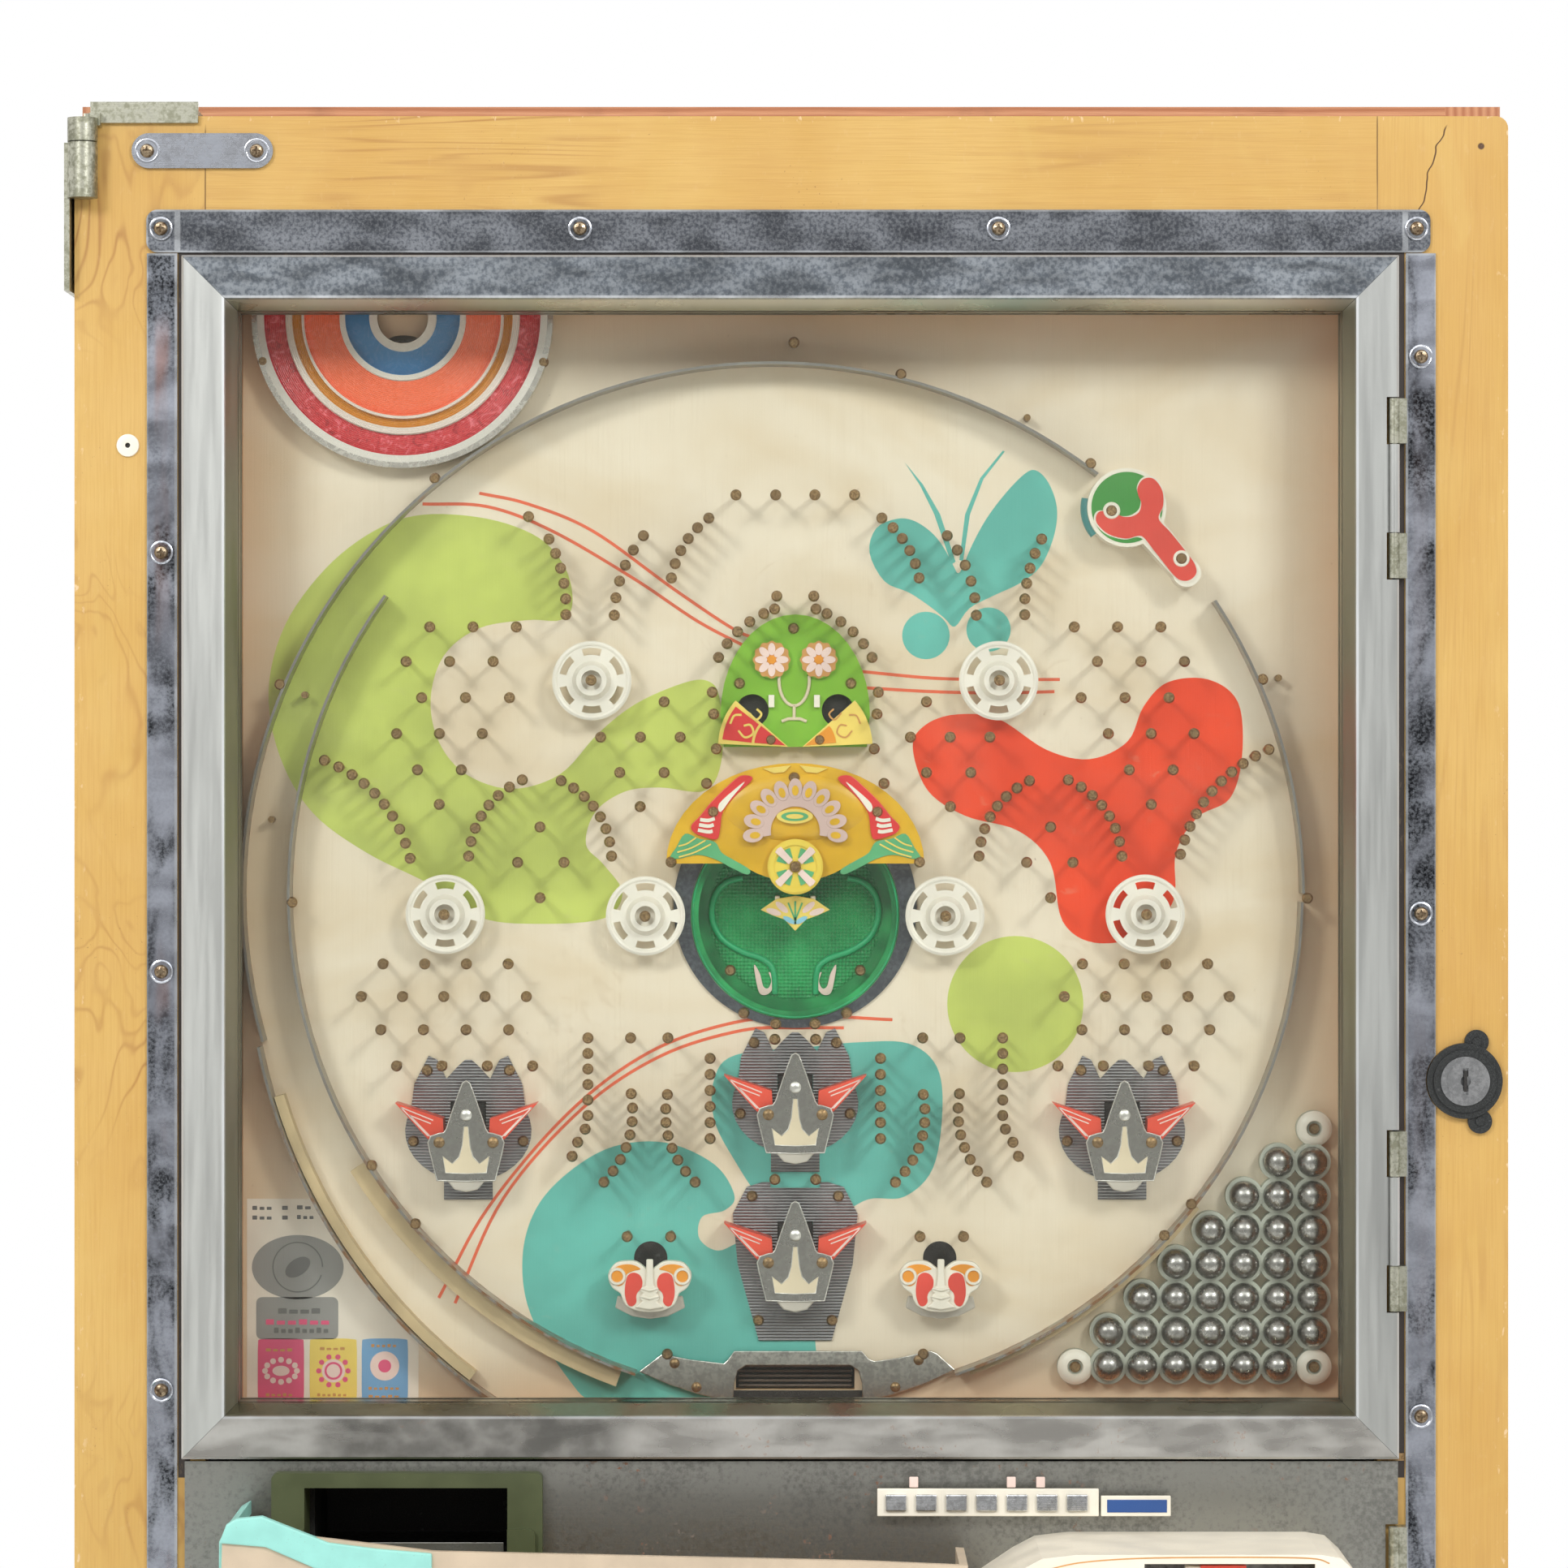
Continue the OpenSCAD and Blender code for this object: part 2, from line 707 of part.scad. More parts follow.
module dome_ornament() {
    half = arc_points([0, 66], 27.6, 37, 0, 90, 10);
    outline = concat([[26.5, 54]], half, mirrored(half), [[-26.5, 54]]);
    fan_r = 25.6;
    color([0.45, 0.72, 0.27])
        at_play() {
            difference() {
                slab(board_front - 4, board_front)
                    polygon(outline);
                both_sides()
                    rod(15.8, 67.5, 6, board_front - 5, board_front + 1);
            }
            both_sides()
                rod(8.7, 86.2, 6.9, board_front - 5.5, board_front - 3);
            both_sides()
                slab(board_front - 8, board_front - 3.5)
                    polygon(concat([[2.6, 54]], arc_points([2.6, 54], fan_r, fan_r, 3, 41, 6)));
        }
}

module canopy_ornament() {
    top = arc_points([0, 11], 47.5, 37, 0, 90, 12);
    belly = arc_points([0, 26], 28, 21.5, 270, 316, 6);
    color([0.87, 0.72, 0.20])
        at_play()
            difference() {
                slab(board_front - 13, board_front - 1.2)
                    polygon(concat(top, mirrored(top), mirrored(belly), belly));
                rod(0, spinner_z, 3, board_front - 14, board_front);
            }
}

module green_dish() {
    color([0.10, 0.50, 0.28])
        at_play()
            translate([0, board_front, dish_z])
                rotate([90, 0, 0])
                    rotate_extrude($fn = 96)
                        polygon([[0, -14], [dish_r - 1.3, -14], [dish_r - 1.3, 0], [dish_r - 0.2, 0],
                            [dish_r - 0.2, 1.1], [dish_r - 3, 1.1], [dish_r - 3, -12.4], [0, -12.4]]);
}

module dish_surround() {
    color([0.42, 0.44, 0.46])
        at_play()
            slab(plate_y, board_front)
                difference() {
                    translate([0, -5])
                        circle(r = 45);
                    translate([0, dish_z])
                        circle(r = dish_r);
                }
}

module spinner() {
    color([0.89, 0.77, 0.25])
        at_play()
            translate([0, board_front - 16.2, spinner_z])
                rotate([-90, 0, 0])
                    difference() {
                        union() {
                            cylinder(r = 10.2, h = 1.2);
                            translate([0, 0, -0.6])
                                difference() {
                                    cylinder(r = 9.6, h = 1);
                                    translate([0, 0, -1])
                                        cylinder(r = 8, h = 3);
                                }
                            cylinder(r = 2.4, h = 2.4);
                        }
                        translate([0, 0, -2])
                            cylinder(r = pin_r + run, h = 6);
                        for (turn = [0:90:270])
                            rotate([0, 0, turn + 45])
                                translate([4.6, 0, -2])
                                    cylinder(r = 1.7, h = 6);
                    }
}

// Ball-driven wheel: a slotted disc with a cup-shaped hub and vanes behind it
module windmill(p) {
    disc_back = board_front - 8;
    color([0.94, 0.92, 0.87])
        at_play()
            translate([p[0], disc_back, p[1]])
                rotate([90, 0, 0])
                    difference() {
                        union() {
                            cylinder(r = windmill_r, h = 2);
                            cylinder(r1 = 8, r2 = 5.6, h = 6);
                            translate([0, 0, -6])
                                cylinder(r = 3.4, h = 7);
                            for (turn = [0:60:300])
                                rotate([0, 0, turn])
                                    translate([3, -0.6, -6])
                                        cube([8.8, 1.2, 6.5]);
                        }
                        translate([0, 0, -7])
                            cylinder(r = pin_r + run, h = 16);
                        translate([0, 0, 2])
                            cylinder(r = 3.75, h = 6);
                        for (turn = [0:60:300])
                            rotate([0, 0, turn + 12])
                                rotate_extrude(angle = 36)
                                    translate([9.5, -1])
                                        square([2.6, 4]);
                    }
}

// One wing of a tulip: a leaf that turns on a pin. side is -1 for left, 1 for right
module tulip_wing(t, side) {
    color([0.94, 0.38, 0.29])
        at_play()
            translate([t[0] + side * tulip_pivot, 0, t[1]])
                difference() {
                    union() {
                        slab(wing_front, wing_back)
                            scale([-side, 1])
                                polygon([[-16.4, 12.8], [1.2, 7], [1.6, 0], [0, -2], [-4.2, -0.6]]);
                        rod(0, 0, 2.1, wing_front, wing_back);
                    }
                    rod(0, 0, 1 + run, wing_front - 1, wing_back + 1);
                }
}

module tulip_front_plate(t) {
    half = [[0, 22.4], [3.6, 14], [7.5, 4.2], [14, 1.5], [10.1, -14]];
    translate([t[0], 0, t[1]]) {
        slab(tulip_front, tulip_front + 1)
            polygon(concat(half, [for (i = [len(half) - 1:-1:1]) [-half[i][0], half[i][1]]]));
        rod(0, 10.1, 2.4, tulip_front - 0.8, tulip_front + 0.5);
        rod(0, 13.6, 1.2, tulip_front + 0.5, plate_y);
        rod(0, -11, 1.2, tulip_front + 0.5, plate_y);
    }
}

module tulip_front_plates() {
    color([0.56, 0.56, 0.55])
        at_play()
            for (t = [tulip_left, tulip_right, tulip_centre, tulip_lower])
                tulip_front_plate(t);
}

// Back plate with two wing pins and a ball slot; its outline is given for the right half
module tulip_back_plate(t, half) {
    translate([t[0], 0, t[1]]) {
        slab(plate_y, board_front)
            difference() {
                polygon(concat(half, mirrored(half)));
                translate([-6.6, 1.5])
                    square([13.2, 11]);
            }
        for (x = [-1, 1])
            rod(x * tulip_pivot, 0, 1, tulip_front + 1.1, plate_y + 0.5);
    }
}

module tulip_back_plates() {
    crown = concat([[9, -23.7], [9, -17]], arc_points([0, 1.5], 23.4, 18.6, -65, 25, 8),
        [[20, 19], [14.7, 29.5], [11.5, 28], [8.1, 21], [4, 25.5], [1.2, 28]]);
    shield = [[5, -31.7], [13.5, -31.7], [21.3, -3.5], [23.1, 15.2], [18, 25.1], [12.3, 26.9],
        [9.2, 26.9], [9.2, 24.8]];
    color([0.51, 0.52, 0.54])
        at_play() {
            for (t = [tulip_left, tulip_right, tulip_centre])
                tulip_back_plate(t, crown);
            tulip_back_plate(tulip_lower, shield);
        }
}

module pocket_cups() {
    wing_half = [[6, -16], [10.5, -13], [12.4, -5], [15, -3], [15, 2.5], [12, 6], [5, 6.5]];
    cup_half = [[5, -12], [8.4, -9], [9.4, 7]];
    color([0.92, 0.88, 0.80])
        at_play() {
            for (t = [tulip_left, tulip_right, tulip_centre, tulip_lower])
                translate([t[0], 0, t[1]])
                    slab(tulip_front, plate_y)
                        polygon([[-9, -14.6], [-7.4, -19.7], [7.4, -19.7], [9, -14.6]]);
            for (side = [-1, 1])
                translate([side * pocket_x, 0, pocket_z])
                    difference() {
                        slab(board_front - 13, board_front)
                            polygon(concat(wing_half, mirrored(wing_half)));
                        slab(board_front - 11, board_front + 1)
                            polygon(concat(cup_half, mirrored(cup_half)));
                    }
        }
}

module out_hole_plate() {
    half = [[24, -188], [40, -188], [60, -181.5], [58, -178.5], [46, -170.6], [24, -170.8], [20, -168.6]];
    color([0.62, 0.62, 0.60])
        at_play()
            slab(board_front - 4, board_front)
                difference() {
                    polygon(concat(half, mirrored(half)));
                    translate([-22.5, -186])
                        square([45, 12]);
                }
}

rack_x = 190.9;
rack_z = -174.5;
// Columns of the ball rack, counted from the right, that each row fills
rack_rows = [[1, 6], [0, 6], [0, 5], [0, 4], [0, 3], [0, 2], [0, 1]];
function rack_place(row, column) = [rack_x - column * ball_pitch, rack_z + row * ball_pitch];
rack_places = [for (row = [0:len(rack_rows) - 1]) for (column = [rack_rows[row][0]:rack_rows[row][1]])
    rack_place(row, column)];

module ball_rack() {
    color([0.73, 0.75, 0.69])
        at_play()
            difference() {
                union() {
                    for (p = rack_places)
                        rod(p[0], p[1], 6.9, board_front - 5.5, board_front);
                    for (p = [[103.4, -175], [191.6, -175], [191.7, -87]])
                        rod(p[0], p[1], 6.6, board_front - 5, board_front);
                    block([108, 186], [board_front - 3, board_front], [-176, -172]);
                    block([188, 194], [board_front - 3, board_front], [-170, -92]);
                }
                for (p = rack_places)
                    rod(p[0], p[1], ball_r + run, board_front - 7, board_front - 1);
            }
}

module steel_balls() {
    color([0.70, 0.71, 0.72])
        at_play()
            for (p = rack_places)
                translate([p[0], board_front - 1.1 - ball_r, p[1]])
                    sphere(r = ball_r);
}

// ---------- glass door ----------

// Straight member along X with its ends cut at 45 degrees; its outer edge is at z = 0
module mitred_member(length) {
    profile = [[0, door_front - 0.6], [0, glass_front + 0.8], [0.8, glass_front],
        [glass_face, glass_front], [glass_lip, glass_front + 8], [glass_lip, glass_back],
        [12, glass_back], [12, door_front - 0.6]];
    intersection() {
        rotate([90, 0, 90])
            linear_extrude(length)
                polygon([for (p = profile) [p[1], p[0]]]);
        slab(glass_front - 1, glass_back + 1)
            polygon([[0, 0], [length, 0], [length - 40, 40], [40, 40]]);
    }
}

module glass_frame() {
    color([0.70, 0.72, 0.73]) {
        difference() {
            translate([glass_left, 0, glass_bottom]) {
                mitred_member(glass_w);
                translate([glass_w, 0, glass_h])
                    rotate([0, 180, 0])
                        mitred_member(glass_w);
                translate([glass_w, 0, 0])
                    rotate([0, -90, 0])
                        mitred_member(glass_h);
                translate([0, 0, glass_h])
                    rotate([0, 90, 0])
                        mitred_member(glass_h);
            }
            for (y = [front_pane_y, rear_pane_y])
                pane(y, 0.2);
            for (z = glass_barrels)
                barrel_notch(z);
        }
        for (z = glass_barrels)
            moving_barrel(z, door_front - 0.8);
    }
}

module pane(y, clear) {
    bite = glass_lip - pane_bite - clear;
    block([glass_left + bite, glass_left + glass_w - bite], [y - clear, y + pane_t + clear],
        [glass_bottom + bite, glass_bottom + glass_h - bite]);
}

module glass_panes() {
    color([0.80, 0.90, 0.90, 0.3])
        for (y = [front_pane_y, rear_pane_y])
            pane(y, 0);
}

// ---------- tray door ----------

bezel_x = [-187.7, -89.9];
bezel_z = [262.8, 312.8];
mouth_x = [-175.8, -102.5];
mouth_z = [279, 307.5];

module tray_door_plate() {
    color([0.64, 0.64, 0.62]) {
        difference() {
            union() {
                block([-panel_half_w, panel_half_w], [panel_front, panel_back], [tray_bottom, tray_top]);
                difference() {
                    block([-211, 207], [panel_front, door_back - 4], [tray_bottom + 2, tray_top - 4]);
                    block([-209.5, 205.5], [panel_back, door_back], [tray_bottom + 3.5, tray_top - 5.5]);
                }
            }
            block([mouth_x[0] - 1.6, mouth_x[1] + 1.6], [panel_front - 1, panel_back + 1],
                [mouth_z[0] - 1.6, mouth_z[1] + 1.6]);
            barrel_notch(tray_barrel);
        }
        moving_barrel(tray_barrel, panel_back);
    }
}

module payout_bezel() {
    color([0.35, 0.39, 0.25])
        difference() {
            union() {
                slab(panel_front - 7, panel_front)
                    translate([bezel_x[0], bezel_z[0]])
                        rounded([bezel_x[1] - bezel_x[0], bezel_z[1] - bezel_z[0]], 2.4);
                slab(panel_front - 9, panel_front - 6)
                    translate([bezel_x[0] + 2.5, bezel_z[0]])
                        rounded([bezel_x[1] - bezel_x[0] - 5, 30], 2);
                block([mouth_x[0] - 1.5, mouth_x[1] + 1.5], [panel_front - 1, panel_front + 16],
                    [mouth_z[0] - 1.5, mouth_z[1] + 1.5]);
            }
            block(mouth_x, [panel_front - 20, panel_front + 20], mouth_z);
        }
}

tray_front = panel_front - tray_out;

module upper_tray() {
    rim = [[-201, 262], [-200, 296], [-193, 300], [-126, 292], [24, 288.6], [62, 287], [62, 232], [-170, 244]];
    well = [[-197, 264], [-196, 310], [59, 310], [59, 236], [-169, 248]];
    color([0.82, 0.72, 0.60])
        difference() {
            slab(tray_front, panel_front)
                polygon(rim);
            slab(tray_front + 3, panel_front - 3)
                polygon(well);
            block([-210, 70], [panel_front - 14, panel_front + 1], [261.5, 310]);
        }
}

window_x = [124, 184];

module tray_cover() {
    half_wall = 2.5;
    outer = [[64, 272], [68.5, 277.5], [80, 285.2], [88, 289.4], [100, 290.8], [186, 290.8], [193, 289.6], [198, 285], [201, 276], [202, 232], [64, 230]];
    inner = [[67, 271], [82, 283], [89, 286.8], [100, 288.2], [186, 288.2], [192, 286.8], [195.5, 283], [198.5, 275], [199.5, 235], [67, 233]];
    color([0.94, 0.91, 0.84])
        difference() {
            slab(tray_front, panel_front)
                polygon(outer);
            slab(tray_front + half_wall, panel_front + 1)
                polygon(inner);
            block(window_x, [tray_front - 1, tray_front + 5], [262, 287.6]);
        }
}

module release_slide() {
    color([0.78, 0.15, 0.13]) {
        block([144, 160], [tray_front + 2.8, tray_front + 12], [263, 286.6]);
        block([150, 154], [tray_front - 4, tray_front + 4], [270, 280]);
    }
}

// ---------- lower part ----------

module lower_panel() {
    color([0.64, 0.64, 0.62])
        difference() {
            union() {
                block([-panel_half_w, panel_half_w], [panel_front, panel_back], [panel_bottom, panel_top]);
                block([-panel_half_w, -open_x], [panel_back, door_front], [panel_bottom, panel_top]);
                block([open_x, panel_half_w], [panel_back, door_front], [panel_bottom, panel_top]);
                for (x = [ash_x - 36, ash_x + 33.5])
                    block([x, x + 2.5], [panel_front - 14, panel_front + 0.5], [ash_pivot_z - 7, ash_pivot_z + 7]);
            }
            rod(shoot_x, shoot_z, 7, panel_front - 1, panel_back + 1);
            block([-50, 50], [panel_front - 1, panel_back + 1], [80, 104]);
            translate([ash_x - 40, panel_front - 8, ash_pivot_z])
                rotate([0, 90, 0])
                    cylinder(r = 2 + run, h = 80);
        }
}

module lower_tray() {
    rim = [[-118, 104], [118, 104], [112, 56], [100, 50], [-100, 50], [-112, 56]];
    well = [[-115, 115], [115, 115], [109, 58], [98, 53], [-98, 53], [-109, 58]];
    color([0.82, 0.72, 0.60])
        difference() {
            slab(panel_front - 72, panel_front)
                polygon(rim);
            slab(panel_front - 69, panel_front - 3)
                polygon(well);
            block([-50, 50], [panel_front - 4, panel_front + 1], [80, 110]);
        }
}

module ashtray() {
    front = panel_front - 44;
    color([0.75, 0.75, 0.74])
        difference() {
            union() {
                block([ash_x - 33, ash_x + 33], [front, panel_front - 2], [ash_pivot_z - 5, ash_pivot_z + 38]);
                translate([ash_x - 35.5, panel_front - 8, ash_pivot_z])
                    rotate([0, 90, 0])
                        cylinder(r = 2, h = 71);
            }
            block([ash_x - 31, ash_x + 31], [front + 2, panel_front - 4], [ash_pivot_z + 4, ash_pivot_z + 50]);
        }
}

module shooter_base() {
    color([0.78, 0.79, 0.80])
        translate([shoot_x, panel_front, shoot_z])
            rotate([90, 0, 0])
                rotate_extrude($fn = 72)
                    polygon([[6 + run, 0], [36, 0], [36, 3], [33, 6], [27, 8], [6 + run, 8]]);
}

module shooter_lever() {
    front = panel_front - 8.4;
    color([0.82, 0.83, 0.84])
        translate([shoot_x, 0, shoot_z]) {
            translate([0, front, 0])
                rotate([90, 0, 0])
                    rotate_extrude($fn = 72)
                        polygon([[0, 0], [24, 0], [24, 4], [20, 9], [12, 13], [0, 14]]);
            rod(0, 0, 6, front - 1, board_back - 6);
            slab(front - 7, front - 1)
                polygon([[22, -8], [42, 12], [56, 26], [60, 35], [56, 40], [48, 38], [34, 27], [20, 12]]);
            rod(54, 33, 6.5, front - 9, front - 1);
        }
}

module shooter_hammer() {
    color([0.45, 0.46, 0.47])
        translate([shoot_x, 0, shoot_z])
            difference() {
                union() {
                    rod(0, 0, 12, board_front - 6, board_front + 6);
                    block([-5, 5], [board_front - 2, board_front + 2], [0, 68]);
                    rod(0, 68, 7, board_front - 4, board_front + 4);
                }
                rod(0, 0, 6, board_front - 8, board_front + 8);
            }
}

// Close-wound torsion spring around the shooter's shaft
module shooter_spring() {
    wire_r = 1;
    coil_r = 8.5;
    coils = 7;
    color([0.70, 0.70, 0.72])
        translate([shoot_x, panel_back + 4, shoot_z]) {
            for (i = [0:coils - 1])
                translate([0, i * 1.9 * wire_r, 0])
                    rotate([90, 0, 0])
                        rotate_extrude()
                            translate([coil_r, 0])
                                circle(r = wire_r, $fn = 20);
            translate([coil_r, 0, 0])
                cylinder(r = wire_r, h = 22, $fn = 20);
            rod(coil_r, 21, wire_r, -4, 0.5);
        }
}

// ---------- mechanism on the back ----------

module mech_panel() {
    back = mech_y + 1;
    color([0.60, 0.61, 0.60])
        difference() {
            union() {
                block([mech_x + 6, 200], [mech_y - 1, back], [300, 752]);
                block([mech_x + 6, 200], [mech_y - 1, back + 10], [300, 301.5]);
                block([mech_x + 6, 200], [mech_y - 1, back + 10], [750.5, 752]);
                for (z = [384.5, 684.5]) {
                    translate([mech_x, mech_y, z])
                        cylinder(r = 4, h = 20);
                    block([mech_x, mech_x + 8], [mech_y - 1, mech_y + 1], [z, z + 20]);
                }
            }
            for (z = [384.5, 684.5])
                translate([mech_x, mech_y, z - 1])
                    cylinder(r = 2 + run, h = 22);
            rod(-90, 590, 30, mech_y - 5, mech_y + 5);
            block([-60, 60], [mech_y - 5, mech_y + 5], [326, 380]);
        }
}

tank_x = [-165, 120];
tank_z = [672, 744];

module ball_tank() {
    back = mech_y + 58;
    front = mech_y + 1;
    color([0.66, 0.68, 0.68]) {
        difference() {
            slab(front, back)
                polygon([[tank_x[0], tank_z[1]], [tank_x[0], tank_z[0] + 20], [tank_x[1], tank_z[0]],
                    [tank_x[1], tank_z[1]]]);
            slab(front + 1.5, back - 1.5)
                polygon([[tank_x[0] + 1.5, tank_z[1] + 1], [tank_x[0] + 1.5, tank_z[0] + 21.6],
                    [tank_x[1] - 1.5, tank_z[0] + 1.6], [tank_x[1] - 1.5, tank_z[1] + 1]]);
            block([tank_x[1] - 4, tank_x[1] + 2], [front + 12, front + 40], [tank_z[0] + 2, tank_z[0] + 20]);
        }
        difference() {
            block([tank_x[1], tank_x[1] + 32], [front, front + 44], [540, tank_z[0] + 24]);
            block([tank_x[1] + 2, tank_x[1] + 30], [front + 2, front + 42], [530, tank_z[0] + 22]);
            block([tank_x[1] - 1, tank_x[1] + 3], [front + 12, front + 40], [tank_z[0] + 2, tank_z[0] + 20]);
        }
    }
}

module payout_unit() {
    front = mech_y + 1;
    color([0.50, 0.52, 0.50]) {
        difference() {
            block([60, 160], [front, front + 38], [400, 520]);
            block([62, 158], [front + 2, front + 40], [402, 518]);
        }
        for (x = [85, 110, 135])
            rod(x, 470, 9, front + 1, front + 26);
        block([70, 150], [front + 1, front + 30], [420, 426]);
    }
}

// ---------- assembly ----------

outer_frame();
frame_hinges();
door_frame();
door_hinge_leaves();
mending_plate();
trim_strips();
face_screws();
side_hinges();
lock_escutcheon();
lock_cylinder();
lock_bar();
inner_box();
playfield_board();
guide_rails();
lane_ledges();
playfield_nails();
lamp_lens();
return_bumper();
dome_ornament();
canopy_ornament();
green_dish();
dish_surround();
spinner();
windmill([-mill_upper[0], mill_upper[1]]);  // windmill_upper_left
windmill(mill_upper);  // windmill_upper_right
windmill([-mill_outer[0], mill_outer[1]]);  // windmill_outer_left
windmill(mill_outer);  // windmill_outer_right
windmill([-mill_inner[0], mill_inner[1]]);  // windmill_inner_left
windmill(mill_inner);  // windmill_inner_right
tulip_wing(tulip_left, -1);  // tulip_left_wing_l
tulip_wing(tulip_left, 1);  // tulip_left_wing_r
tulip_wing(tulip_right, -1);  // tulip_right_wing_l
tulip_wing(tulip_right, 1);  // tulip_right_wing_r
tulip_wing(tulip_centre, -1);  // tulip_centre_wing_l
tulip_wing(tulip_centre, 1);  // tulip_centre_wing_r
tulip_wing(tulip_lower, -1);  // tulip_lower_wing_l
tulip_wing(tulip_lower, 1);  // tulip_lower_wing_r
tulip_front_plates();
tulip_back_plates();
pocket_cups();
out_hole_plate();
ball_rack();
steel_balls();
glass_frame();
glass_panes();
tray_door_plate();
payout_bezel();
upper_tray();
tray_cover();
release_slide();
lower_panel();
lower_tray();
ashtray();
shooter_base();
shooter_lever();
shooter_hammer();
shooter_spring();
mech_panel();
ball_tank();
payout_unit();
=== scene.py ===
"""Looks of the pachinko machine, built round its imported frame. Lengths are in millimetres; the row frame
has +Z up and the player on the -Y side. Outlines are (x, z) pairs measured from PLAY unless origin says otherwise."""

import math

import bmesh
import bpy
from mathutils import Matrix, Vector


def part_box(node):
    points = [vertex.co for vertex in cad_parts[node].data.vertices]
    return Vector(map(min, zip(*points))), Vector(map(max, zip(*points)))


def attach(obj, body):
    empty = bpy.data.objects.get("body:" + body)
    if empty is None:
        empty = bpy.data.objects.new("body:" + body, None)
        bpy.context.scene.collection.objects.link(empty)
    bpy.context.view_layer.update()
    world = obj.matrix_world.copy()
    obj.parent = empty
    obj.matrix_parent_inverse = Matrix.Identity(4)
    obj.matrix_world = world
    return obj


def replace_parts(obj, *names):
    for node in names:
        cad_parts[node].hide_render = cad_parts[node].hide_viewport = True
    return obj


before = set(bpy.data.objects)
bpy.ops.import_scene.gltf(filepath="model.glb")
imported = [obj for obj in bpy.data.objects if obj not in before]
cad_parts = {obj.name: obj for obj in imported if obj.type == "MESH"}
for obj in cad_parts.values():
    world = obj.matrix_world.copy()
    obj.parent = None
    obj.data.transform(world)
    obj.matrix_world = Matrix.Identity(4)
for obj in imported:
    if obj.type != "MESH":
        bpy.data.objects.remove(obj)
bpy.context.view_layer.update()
MM = 0.001
TAU = 2 * math.pi
DOOR = "front_door"
BOARD_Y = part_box("playfield_board")[0].y / MM
PANEL_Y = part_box("tray_door_plate")[0].y / MM
PLAY = Vector((1.5, 521.3))  # middle of the round track
DISH_Z = -8.1


# ---------- material graphs ----------

def rgb(*display):
    """A colour as seen on a screen, 0 to 255, as linear light."""
    parts = [v / 255 for v in display]
    return tuple(p / 12.92 if p <= 0.04045 else ((p + 0.055) / 1.055) ** 2.4 for p in parts)


